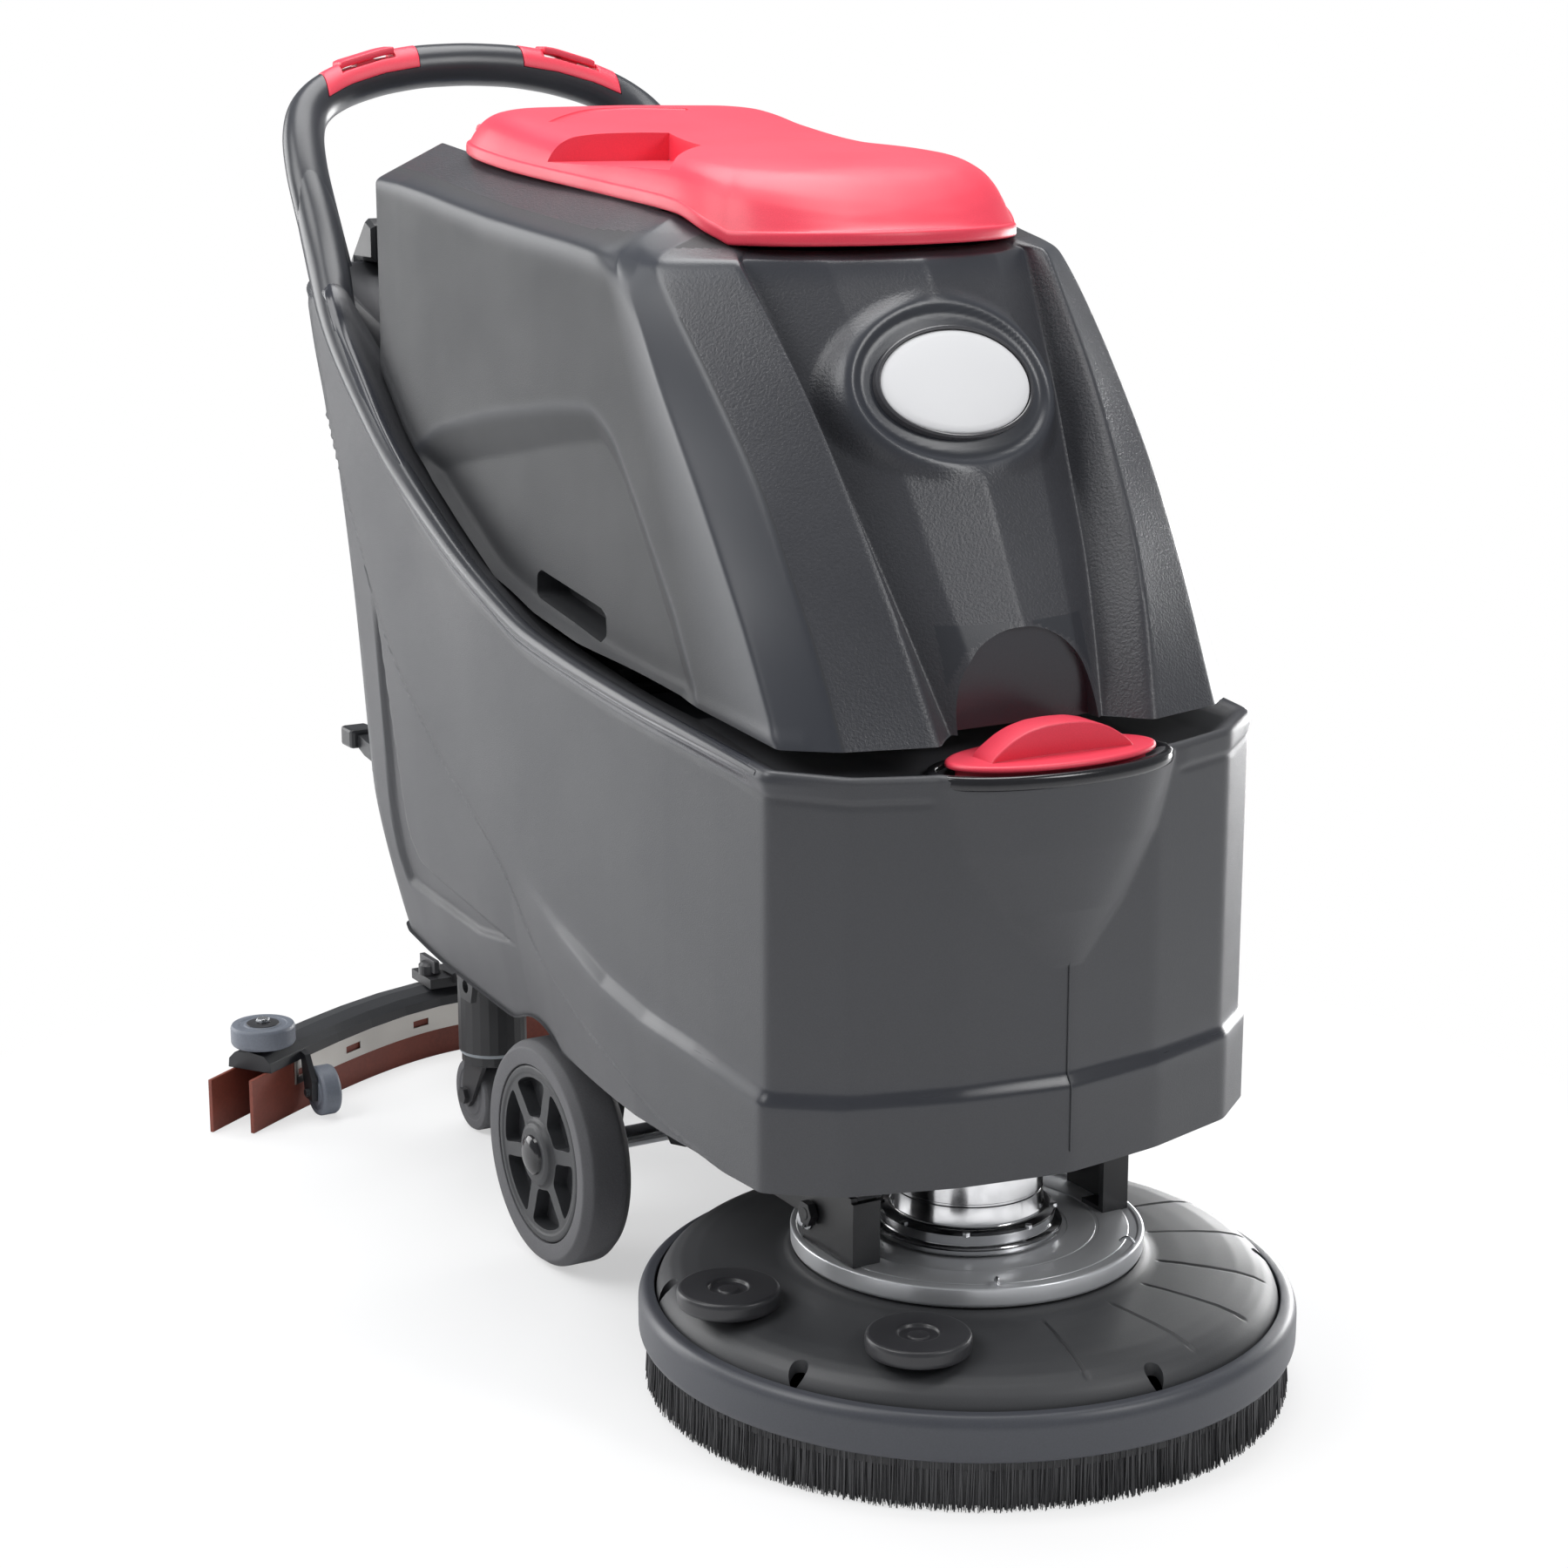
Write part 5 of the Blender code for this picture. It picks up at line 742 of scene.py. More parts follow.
def upper_tank():
    outer = [dense_ring(tank_ring(s)) for s in np.linspace(0, 1, 110)]
    top = dense_ring(CROWN_RING)
    rise = [outer[-1] + (top - outer[-1]) * t for t in np.linspace(0, 1, 24)[1:]]
    grid = np.array(outer + rise)
    grid = smooth_axis(grid, 0.9, 1, True)
    grid = smooth_axis(grid, 1.6, 0, False)
    count = len(outer)
    y, z = grid[:count, :, 1], grid[:count, :, 2]
    on_side = (np.abs(grid[:count, :, 0]) > 0.19) & (y < 0.36)
    # the arched recess in each side
    at = np.stack([y, z], axis=-1)
    far = inside_distance(at, softened_polygon(SCALLOP_OUT, 0.004, 0.010))
    near = inside_distance(at, softened_polygon(SCALLOP_IN, 0.004, 0.010))
    share = np.clip(far / np.maximum(far - near, 1e-6), 0, 1)
    share = np.where(near > 0, 1.0, np.where(far > 0, share, 0.0))
    low_edge = step(0.0, 0.010, z - (seat_at(y) + 0.012))
    dip = 0.0125 * share * on_side * (0.15 + 0.85 * low_edge)
    dip = smooth_axis(smooth_axis(dip, 0.5, 1, True), 0.5, 0, False)
    side = np.sign(grid[:count, :, 0])
    grid[:count, :, 0] -= side * dip
    # soft swell of the flange along the lower edge
    edge = np.exp(-((z - seat_at(y) - 0.019) / 0.006) ** 2)
    grid[:count, :, 0] += side * 0.0012 * edge * on_side
    moat_polish_painted_shade = badge_dish(grid)
    round_corner(grid, count)
    # polish and painted light: the edges, the bend round the front, the band under the shoulder and the badge's moat
    # are smoother, and take a polished colour that is a painted highlight on the sides and painted shade on the front
    polish_and_painted_light = np.zeros(grid.shape[:2])
    half_bend = np.zeros(sum(RING_COUNTS) + 1)
    corner = sum(RING_COUNTS[:4])
    half_bend[corner:corner + RING_COUNTS[4]] = 1.0
    half_bend[corner + RING_COUNTS[4]:corner + RING_COUNTS[4] + 34] = np.linspace(1.0, 0.0, 34)
    bend = np.concatenate([half_bend, half_bend[-2:0:-1]])[None, :]
    ledge = np.zeros_like(polish_and_painted_light)
    ledge[:count] = np.exp(-((far - 0.002) / 0.005) ** 2) * on_side
    shoulder = np.zeros_like(polish_and_painted_light)
    shoulder[count - 5:count + 4] = 0.8
    polish_and_painted_light = np.clip(0.9 * bend + 0.5 * ledge + smooth_axis(shoulder, 2.0, 0, False) + moat_polish_painted_shade, 0, 1)
    # underside and the mouth under the lid
    lead = []
    for inward, lift in ((0.006, 0.0), (0.002, 0.0006)):
        p = grid[0].copy()
        centre = np.stack([np.zeros(len(p)), np.clip(p[:, 1], -0.33, 0.25)], axis=-1)
        away = p[:, :2] - centre
        away /= np.linalg.norm(away, axis=1)[:, None]
        p[:, :2] -= away * inward
        p[:, 2] += lift
        lead.append(p)
    belly = lead[0].copy()
    belly[:, 0] = 0.0
    belly[:, 1] = np.clip(belly[:, 1], -0.400, 0.350)
    belly[:, 2] = seat_at(belly[:, 1]) + 0.012
    lead = [belly] + lead
    mouth_x = np.clip(grid[-1][:, 0], -0.110, 0.110)
    mouth_y = np.clip(grid[-1][:, 1], -0.215, 0.205)
    tail = []
    flat = grid[-1].copy()
    flat[:, 0] = np.clip(flat[:, 0], -0.118, 0.118)
    flat[:, 1] = np.clip(flat[:, 1], -0.224, 0.214)
    flat[:, 2] = np.minimum(flat[:, 2], 0.940) - 0.006
    tail.append(flat)
    for z, grow in ((0.0, 1.0), (0.870, 1.1), (0.760, 1.25), (0.642, 1.25)):
        p = np.stack([mouth_x * grow, -0.005 + (mouth_y + 0.005) * grow, np.full(len(mouth_x), z)], axis=-1)
        if z == 0.0:
            p[:, 2] = flat[:, 2] - 0.006
        p[:, 1] = np.minimum(p[:, 1], 0.06 if z < 0.70 else 0.24)
        tail.append(p)
    end = tail[-1].copy()
    end[:, 0] = 0.0
    tail.append(end)
    whole = shifted(np.concatenate([np.array(lead), grid, np.array(tail)]))
    polish_and_painted_light = np.concatenate([np.zeros((len(lead), grid.shape[1])), polish_and_painted_light, np.zeros((len(tail), grid.shape[1]))])
    tank = grid_object("recovery_shell", whole.transpose(1, 0, 2), "tank", None,
                       sharp=50, polish_and_painted_light=polish_and_painted_light.T)
    weld(tank)
    cutters = [arch_cutter()]
    for side in (-1, 1):
        cutters.append(slot_cutter(side))
    carve(tank, joined(*cutters))
    close_ends(tank)
    dress(tank, "tank_upper_painted_darker", "recovery", 38)
    coarse_front(tank)
    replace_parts(tank, "recovery_tank")


def badge_dish(grid):
    """Forms the oval moat round the badge in the front panel, and returns how polished it is there, a mask that also
    paints the moat in a darker polished colour as painted shade.
    """
    at = np.array([BADGE_AT.x, BADGE_AT.y - SHIFT, BADGE_AT.z])
    offset = grid - at
    along, out = offset @ np.array(BADGE_UP), offset @ np.array(BADGE_OUT)
    across = offset[..., 0]
    oval = np.sqrt((across / 0.0930) ** 2 + (along / 0.0690) ** 2)
    near = (grid[..., 1] < -0.15) & (grid[..., 2] < 0.915)
    plane = -0.006 * (across / 0.072) ** 2
    moat = plane - 0.0052
    lip = plane - 0.0010
    shaped = np.where(oval < 0.86, moat, moat + (lip - moat) * step(0.86, 0.97, oval))
    share = (1 - step(0.98, 1.22, oval)) * near
    change = (shaped - out) * share
    for k in range(3):
        grid[..., k] += change * BADGE_OUT[k]
    return 0.9 * (1 - step(1.00, 1.12, oval)) * near


def round_corner(grid, count):
    """Lets the shoulder roll over into the front facet in one soft bend."""
    corner = sum(RING_COUNTS[:5])
    columns = np.arange(grid.shape[1])
    columns = np.minimum(columns, grid.shape[1] - columns)
    rows = np.arange(grid.shape[0])
    across = np.exp(-((columns - corner - 4) / 20.0) ** 2)
    along = np.exp(-((rows - count) / 13.0) ** 2)
    share = np.clip(1.25 * np.outer(along, across), 0, 1)[..., None]
    soft = smooth_axis(smooth_axis(grid, 7.0, 0, False), 6.0, 1, True)
    grid += (soft - grid) * share


def coarse_front(tank):
    """The ribs, the centre panel and the crown carry a coarser grain than the sides, and the cap's arch is smooth."""
    tank.data.materials.append(M["tank_coarse"])
    tank.data.materials.append(M["handle"])
    count = len(tank.data.polygons)
    centres, normals = np.zeros(count * 3), np.zeros(count * 3)
    tank.data.polygons.foreach_get("center", centres)
    tank.data.polygons.foreach_get("normal", normals)
    x, y, z = centres.reshape(-1, 3).T
    up = normals.reshape(-1, 3)[:, 2]
    height = np.clip(z, 0.560, 0.906)
    edge_x, edge_y = curve(FRONT, 6)(height), curve(FRONT, 7)(height)
    front = (np.abs(x) < edge_x - 0.002) & (y < edge_y + 0.05) & (z < 0.914)
    crown = (z > 0.924) & (np.abs(x) < 0.185)
    arch = (np.abs(x) < 0.067) & (z < 0.640) & (z > 0.53) & (y < -0.38) & ((y > -0.442) | (up < -0.25))
    kind = (front | crown).astype(np.int32)
    kind[arch] = 2
    tank.data.polygons.foreach_set("material_index", kind)


def arch_cutter():
    half = [(0.066, 0.530), (0.066, 0.545), (0.0645, 0.577), (0.057, 0.603), (0.040, 0.6235), (0.019, 0.634),
            (0.0, 0.637)]
    return prism("arch_cutter", arched(half, 60, 1.5), "Y", -0.60 + SHIFT, -0.4525 + SHIFT)


def slot_cutter(side):
    slot = [(-0.130, 0.5885), (-0.012, 0.6075), (-0.004, 0.6110), (-0.004, 0.6280), (-0.013, 0.6320),
            (-0.126, 0.6165), (-0.135, 0.6110), (-0.136, 0.5950)]
    slot = rounded_profile([(y + SHIFT, z) for y, z in slot], 0.006, 4)
    low, high = sorted((side * 0.166, side * 0.23))
    return prism("slot_cutter", slot, "X", low, high)


BADGE_TILT = math.atan2(0.094, 0.178)
BADGE_AT = Vector((0, float(line(FRONT, 1)(0.8145)) + SHIFT, 0.8145))
BADGE_OUT = Vector((0, -math.cos(BADGE_TILT), math.sin(BADGE_TILT)))
BADGE_UP = Vector((0, math.sin(BADGE_TILT), math.cos(BADGE_TILT)))


def badge_rings(rows, steps=128, bow=0.006):
    """Oval rings on the front panel. Each row holds half width, half height and depth."""
    grid = []
    for a in turn(steps):
        grid.append([BADGE_AT + BADGE_OUT * (depth - bow * math.cos(a) ** 2 * (half / 0.072) ** 2)
                     + Vector((half * math.cos(a), 0, 0)) + BADGE_UP * high * math.sin(a)
                     for half, high, depth in rows])
    return np.array(grid)


def badge():
    bezel = grid_object("badge_rim", badge_rings([
        (0.0690, 0.0440, -0.0030), (0.0688, 0.0438, 0.0010), (0.0696, 0.0446, 0.0017), (0.0708, 0.0458, 0.0017),
        (0.0720, 0.0470, 0.0008), (0.0722, 0.0472, -0.0046)]), "bezel", "recovery",
        close_v=True, sharp=40)
    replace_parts(bezel, "badge_bezel")
    plate = grid_object("badge_face", badge_rings([
        (0.0010, 0.0006, 0.0024), (0.020, 0.012, 0.0023), (0.040, 0.025, 0.0020), (0.058, 0.037, 0.0014),
        (0.0655, 0.0418, 0.0008), (0.0678, 0.0432, -0.0002), (0.0682, 0.0434, -0.0026),
        (0.0010, 0.0006, -0.0026)]), "white", "recovery",
        sharp=50)
    close_ends(plate)
    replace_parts(plate, "badge_plate")


# ---------------------------------------------------------------- lid
def lid_edge(y):
    return np.maximum(crown_at(y), 0.914) + 0.0022


def lid():
    plan = mirror_ring(LID_PLAN)
    ring = smooth_axis(resample(plan, 420, closed=True), 3.2, 0, True)
    x, y = ring[:, 0], ring[:, 1]
    middle = -0.03
    base = lid_edge(y)
    rows = []
    for inset, drop in ((0.10, 0.9), (0.5, 0.85), (0.82, 0.75), (0.87, 0.35), (0.885, 0.03), (0.93, 0.0)):
        px, py = x * inset, middle + (y - middle) * inset
        roof = np.minimum(lid_crown_at(py) - 0.012, 0.962)
        rows.append(np.stack([px, py, base + drop * np.maximum(0.0, roof - base)], axis=-1))
    for inset, rise in ((0.985, 0.0), (0.995, 0.0005), (0.9995, 0.0018), (1.0, 0.0040), (1.0, 0.0072),
                        (0.9985, 0.0092), (0.996, 0.0104), (0.991, 0.0112), (0.986, 0.0113)):
        rows.append(np.stack([x * inset, middle + (y - middle) * inset, base + rise], axis=-1))
    # the crown swells from a shallow step inside the edge
    shape = curve(LID_SWELL)
    for inset in np.concatenate([np.linspace(0.982, 0.90, 24), np.linspace(0.89, 0.04, 60)]):
        px, py = x * inset, middle + (y - middle) * inset
        start = base + LID_BAND
        rise = np.maximum(0.0, lid_crown_at(py) - start)
        z = start + float(shape(inset)) * rise
        rows.append(np.stack([px, py, z], axis=-1))
    grid = shifted(np.array(rows))
    cover = grid_object("lid_cover", grid.transpose(1, 0, 2), "red", None,
                        sharp=50)
    close_ends(cover)
    carve(cover, joined(lid_pocket(), lid_groove()))
    hinge = (0.263 + SHIFT, 0.990)
    for x in (-0.10, 0.10):
        sleeve = rounded_profile([(0.0036, -0.02), (0.008, -0.02), (0.008, 0.02), (0.0036, 0.02)], 0.0012)
        knuckle = turned("knuckle", sleeve, axis="X", centre=(x, *hinge), steps=40)
        arm = prism("arm", [(0.232 + SHIFT, 0.986), (0.257 + SHIFT, 0.986), (0.257 + SHIFT, 0.9965),
                            (0.232 + SHIFT, 0.9965)], "X", x - 0.019, x + 0.019, bevel=0.001)
        joined(cover, knuckle, arm)
    dress(cover, "red", "lid", 40)
    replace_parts(cover, "recovery_lid")
    rod = rounded_profile([(0.0, -0.1225), (0.0029, -0.1225), (0.0029, 0.1225), (0.0, 0.1225)], 0.0005)
    pin = turned("lid_pin", rod, "steel", "recovery", "X", (0, *hinge), 24, False)
    dress(pin, "steel", "recovery", 40)
    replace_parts(pin, "lid_hinge_rod")


def lid_pocket():
    """The finger recess in the lid's right side: a level floor under the crown, open towards the edge."""
    outline = [(-0.160, 0.0600), (-0.065, 0.0425), (-0.043, 0.0360), (-0.0725, -0.0775), (-0.150, -0.1560),
               (-0.165, -0.1500)]
    outline = rounded_profile([(x, y + SHIFT) for x, y in outline], 0.004, 5)
    return prism("pocket", outline, "Z", 0.9712, 1.060)


def lid_groove():
    """The curved line pressed into the crown beside the recess."""
    path = [(-0.112, 0.118), (-0.085, 0.140), (-0.050, 0.168), (-0.010, 0.178), (0.045, 0.166)]
    dense = smooth_axis(resample(path, 60), 4.0, 0, False)
    points = [(x, y + SHIFT, float(lid_surface(x, y)) + 0.0016) for x, y in dense]
    return tube("groove", points, 0.0075, steps=16, flat=0.0042)


def lid_surface(x, y):
    """Height of the lid's crown over a point."""
    plan = np.array([(row[1], row[0]) for row in LID_PLAN])
    shape = curve(LID_SWELL)
    low, high = 0.0, 0.983
    for _ in range(30):
        inset = 0.5 * (low + high)
        edge_y = -0.03 + (y + 0.03) / inset
        wide = np.interp(edge_y, plan[:, 0], plan[:, 1]) * inset if -0.306 <= edge_y <= 0.251 else 0.0
        if abs(x) <= wide:
            high = inset
        else:
            low = inset
    start = float(lid_edge(-0.03 + (y + 0.03) / inset)) + LID_BAND
    return start + float(shape(inset)) * max(0.0, float(lid_crown_at(y)) - start)


# ---------------------------------------------------------------- filling cap and neck
def oval_rings(rows, steps=120):
    """Level ovals about the neck. Each row holds half width, half depth and height."""
    a = turn(steps)
    rings = [np.stack([half * np.cos(a), NECK_Y + depth * np.sin(a), np.full(steps, z)], axis=-1)
             for half, depth, z in rows]
    return shifted(rings).transpose(1, 0, 2)


def neck_lip():
    rows = [(0.1000, 0.0440, 0.5200), (0.1000, 0.0440, 0.5395), (0.1008, 0.0446, 0.5409), (0.1022, 0.0458, 0.5416),
            (0.1055, 0.0484, 0.5416), (0.1078, 0.0502, 0.5408), (0.1090, 0.0512, 0.5388), (0.1092, 0.0514, 0.5340),
            (0.1086, 0.0508, 0.5318), (0.1070, 0.0490, 0.5306), (0.1020, 0.0448, 0.5230)]
    grid_object("neck_lip", oval_rings(rows), "gloss", "chassis",
                close_v=True, sharp=50)


def fill_cap():
    rows = [(0.002, 0.001, 0.5200), (0.084, 0.033, 0.5200), (0.0848, 0.0336, 0.5215), (0.0848, 0.0336, 0.5428),
            (0.0915, 0.0428, 0.5428), (0.0925, 0.0437, 0.5436), (0.0928, 0.0440, 0.5448), (0.0924, 0.0436, 0.5462),
            (0.0912, 0.0426, 0.5472), (0.0890, 0.0408, 0.5476), (0.0865, 0.0370, 0.5474), (0.0840, 0.0345, 0.5472),
            (0.0400, 0.0160, 0.5480), (0.002, 0.001, 0.5480)]
    cap = grid_object("cap_disc", oval_rings(rows), "red", None,
                      sharp=45)
    close_ends(cap)
    half = [(0.0655, 0.5465), (0.0640, 0.5500), (0.0560, 0.5560), (0.0450, 0.5630), (0.0330, 0.5680),
            (0.0180, 0.5712), (0.0, 0.5720)]
    grip = prism("cap_grip", arched(half, 56, 1.2), "Y", NECK_Y - 0.016 + SHIFT, NECK_Y + 0.012 + SHIFT,
                 bevel=0.0022, segments=3)
    joined(cap, grip)
    dress(cap, "red", "cap", 42)
    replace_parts(cap, "fill_cap")


# ---------------------------------------------------------------- handle
def bar_path(count=150):
    half = np.array(BAR, float)
    path = np.concatenate([half[:0:-1] * [-1, 1, 1], half])
    length = np.concatenate([[0], np.cumsum(np.linalg.norm(np.diff(path, axis=0), axis=1))])
    at = np.linspace(0, length[-1], count)
    path = np.stack([np.interp(at, length, column) for column in path.T], axis=-1)
    return shifted(smooth_axis(path, 2.2, 0, False))


def bar_body(name, grow=0.0):
    grid = rings_along(bar_path(), 0.021 + grow, 0.017 + grow, 40, (0.0, 1.0, 0.0))
    return grid_object(name, grid, sharp=60, caps=True)


def bar_top(x):
    """Height of the bar's top edge over x."""
    return float(np.interp(abs(x), [0, 0.05, 0.095, 0.135, 0.164, 0.184],
                           [1.049, 1.047, 1.040, 1.029, 1.016, 1.0])) + 0.021


def above_bar(name, inner, outer, side, low, high, front=0.50, rear=0.62, bevel=0.0):
    """A slab that follows the bar's top edge between two places, from low to high above it."""
    xs = np.linspace(inner, outer, 12)
    outline = [(side * x, bar_top(x) + low) for x in xs] + [(side * x, bar_top(x) + high) for x in xs[::-1]]
    obj = prism(name, outline, "Y", front + SHIFT, rear + SHIFT)
    if bevel:
        bevel_object(obj, bevel, 3, 40)
    return obj


def paddle_box(side, low, high, extra):
    size = 0.010 + extra
    top = bar_top(0.111)
    x0, x1 = sorted((side * (0.111 - size), side * (0.111 + size)))
    outline = [(x0, top + low), (x1, top + low), (x1, top + high), (x0, top + high)]
    return prism("stem", outline, "Y", 0.548 - extra + SHIFT, 0.562 + extra + SHIFT)


def handle():
    bar = bar_body("handle_bar")
    z = 0.8624
    foot = prism("foot", [(-0.24, 0.80), (0.24, 0.80), (0.24, z), (-0.24, z)], "Y", 0.38, 0.52)
    carve(bar, foot)
    for side in (-1, 1):
        carve(bar, above_bar("seat", 0.0566, 0.1604, side, -0.0205, 0.05))
        carve(bar, paddle_box(side, -0.033, 0.0, 0.0012))
    dress(bar, "handle", "chassis", 45)
    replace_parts(bar, "push_handle")
    for side, where in FLANKS:
        cover = bar_body("grip_shell_" + where, 0.0006)
        carve(cover, above_bar("keep", 0.0574, 0.1596, side, -0.0199, 0.05), "INTERSECT")
        carve(cover, above_bar("pocket", 0.0815, 0.1405, side, -0.0068, 0.05))
        carve(cover, paddle_box(side, -0.05, 0.03, 0.0010))
        bevel_object(cover, 0.0007, 2, 50)
        dress(cover, "red", "chassis", 45)
        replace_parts(cover, "grip_cover_" + where)
        pad = above_bar("paddle_top_" + where, 0.0826, 0.1394, side, -0.0036, 0.0036, 0.5430, 0.5672, 0.0017)
        stem = paddle_box(side, -0.030, -0.002, 0.0)
        joined(pad, stem)
        dress(pad, "red", "paddle_" + where, 45)
        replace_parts(pad, "drive_paddle_" + where)


# ---------------------------------------------------------------- brush deck
def deck_at(r, angle, z):
    return (r * math.cos(angle), DECK_Y + SHIFT + r * math.sin(angle), z)


GROOVES = (-101, -77, -59, -40, -17, 3, 24, 46)
NOTCHES = (-88, -154, -24, 40, 104, 160)
KNOBS = {"deck_knob_side": (-0.223, -0.390, "cover_knob_side"), "deck_knob_front": (-0.141, -0.540, "cover_knob_front")}


def deck_cover():
    profile = [(0.142, 0.0935), (0.142, 0.1118), (0.1445, 0.1122), (0.147, 0.1105), (0.150, 0.1078),
               (0.156, 0.1062), (0.176, 0.1052), (0.200, 0.1032), (0.220, 0.1008), (0.235, 0.0972),
               (0.244, 0.0930), (0.250, 0.0875), (0.2535, 0.0815), (0.2552, 0.0760), (0.2557, 0.0700),
               (0.2557, 0.0505), (0.2505, 0.0505), (0.2505, 0.0740), (0.2430, 0.0830), (0.2280, 0.0885),
               (0.180, 0.0915)]
    profile = np.array(profile)
    steps = 900
    angles = np.linspace(0, 2 * math.pi, steps, endpoint=False)
    dense = np.concatenate([resample(profile[:16], 70), profile[16:]])
    grid = np.zeros((steps, len(dense), 3))
    for i, a in enumerate(angles):
        r, z = dense[:, 0].copy(), dense[:, 1].copy()
        top = (np.arange(len(dense)) < 70) & (r > 0.150)
        for g in GROOVES:
            off = (a - math.radians(g) + math.pi) % (2 * math.pi) - math.pi
            across = off * r
            dip = 0.0018 * np.exp(-(across / 0.0013) ** 4) * step(0.156, 0.160, r)
            z -= np.where(top, dip * step(0.246, 0.238, r), 0.0)
        grid[i, :, 0] = r * math.cos(a)
        grid[i, :, 1] = DECK_Y + SHIFT + r * math.sin(a)
        grid[i, :, 2] = z
    cover = grid_object("deck_dome", grid, "cover", None, close_v=True, sharp=50)
    cutters = []
    for degrees in NOTCHES:
        a = math.radians(degrees)
        cutters.append(turned("notch", [(0.0, 0.058), (0.0076, 0.058), (0.0076, 0.120), (0.0, 0.120)],
                              centre=deck_at(0.2475, a, 0), steps=28))
        out = [(0.249, -0.0034), (0.262, -0.0034), (0.262, 0.0034), (0.249, 0.0034)]
        shape = [(r * math.cos(a) - w * math.sin(a), DECK_Y + SHIFT + r * math.sin(a) + w * math.cos(a))
                 for r, w in out]
        cutters.append(prism("notch", shape, "Z", 0.0805, 0.120))
    for x, y, _ in KNOBS.values():
        cutters.append(turned("hole", [(0.0, 0.07), (0.0058, 0.07), (0.0058, 0.13), (0.0, 0.13)],
                              centre=(x, y + SHIFT, 0), steps=24))
    for cutter in cutters:
        carve(cover, cutter)
    dress(cover, "cover", "deck", 40)
    turned("deck_flange", [(0.0500, 0.0955), (0.0500, 0.1122), (0.1414, 0.1122), (0.1414, 0.0940)],
                   "cover", "deck", "Z", DECK_AXIS, 120)
    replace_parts(cover, "deck_cover")


def bumper():
    profile = rounded_profile([(0.2566, 0.0422), (0.2685, 0.0422), (0.2700, 0.0465), (0.2700, 0.0715),
                               (0.2655, 0.0790), (0.2566, 0.0792)], [0.0008, 0.003, 0.004, 0.004, 0.004, 0.001], 5)
    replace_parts(turned("bumper_band", profile, "ring", "deck", steps=200, sharp=60), "bumper_ring")


def bristles():
    """Thin tapered nylon bristles in tufts, standing in the skirt and the brush."""
    rand = random.Random(7)
    verts, faces = [], []

    def one(x, y, low, high, r, dx, dy):
        start = len(verts)
        turn = rand.random() * 2
        for z, size, share in ((high, r, 0.0), (0.5 * (low + high), r, 0.4), (low, r * 0.7, 1.0)):
            for k in range(3):
                a = turn + k * 2.0944
                verts.append((x + dx * share + size * math.cos(a), y + dy * share + size * math.sin(a), z))
        for level in (0, 3):
            for k in range(3):
                faces.append((start + level + k, start + level + (k + 1) % 3, start + level + 3 + (k + 1) % 3,
                              start + level + 3 + k))
        faces.append((start + 6, start + 7, start + 8))

    tufts = 330
    for t in range(tufts):
        for layer, radius in enumerate((0.2552, 0.2584, 0.2612)):
            a = 2 * math.pi * (t + layer / 3) / tufts
            for _ in range(7):
                r = radius + rand.uniform(-0.0011, 0.0011)
                b = a + rand.uniform(-0.0070, 0.0070)
                x, y, _z = deck_at(r, b, 0)
                splay = rand.uniform(-0.0008, 0.0028) if layer == 2 else rand.uniform(-0.001, 0.001)
                side = rand.uniform(-0.0015, 0.0015)
                one(x, y, rand.choice((0.0004, 0.0004, 0.0012, 0.0026)), 0.0440, 0.00055,
                    splay * math.cos(b) - side * math.sin(b), splay * math.sin(b) + side * math.cos(b))
    skirt = new_object("skirt_bristles", verts, faces, "bristle", "deck", False)
    turned("skirt_band", rounded_profile([(0.2535, 0.0330), (0.2618, 0.0330), (0.2618, 0.0418),
                                                 (0.2535, 0.0418)], 0.001), "dark", "deck", "Z",
                  DECK_AXIS, 160)
    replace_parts(skirt, "bristle_skirt")
    turned("skirt_core", [(0.2546, 0.0045), (0.2598, 0.0045), (0.2598, 0.0400), (0.2546, 0.0400)],
                     "bristle", "deck", "Z", DECK_AXIS, 160)
    verts, faces = [], []
    for ring, radius in enumerate(np.arange(0.078, 0.246, 0.0105)):
        count = int(2 * math.pi * radius / 0.0105)
        for t in range(count):
            a = 2 * math.pi * (t + 0.5 * (ring % 2)) / count
            cx, cy, _z = deck_at(radius, a, 0)
            for _ in range(6):
                b, s = rand.random() * 6.283, 0.0028 * math.sqrt(rand.random())
                lean = 0.0018 * s / 0.0028
                one(cx + s * math.cos(b), cy + s * math.sin(b), rand.choice((0.0004, 0.0010, 0.0020)), 0.0462, 0.0007,
                    lean * math.cos(b), lean * math.sin(b))
    brush = new_object("brush_tufts", verts, faces, "bristle", "brush", False)
    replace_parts(brush, "brush_bristles")


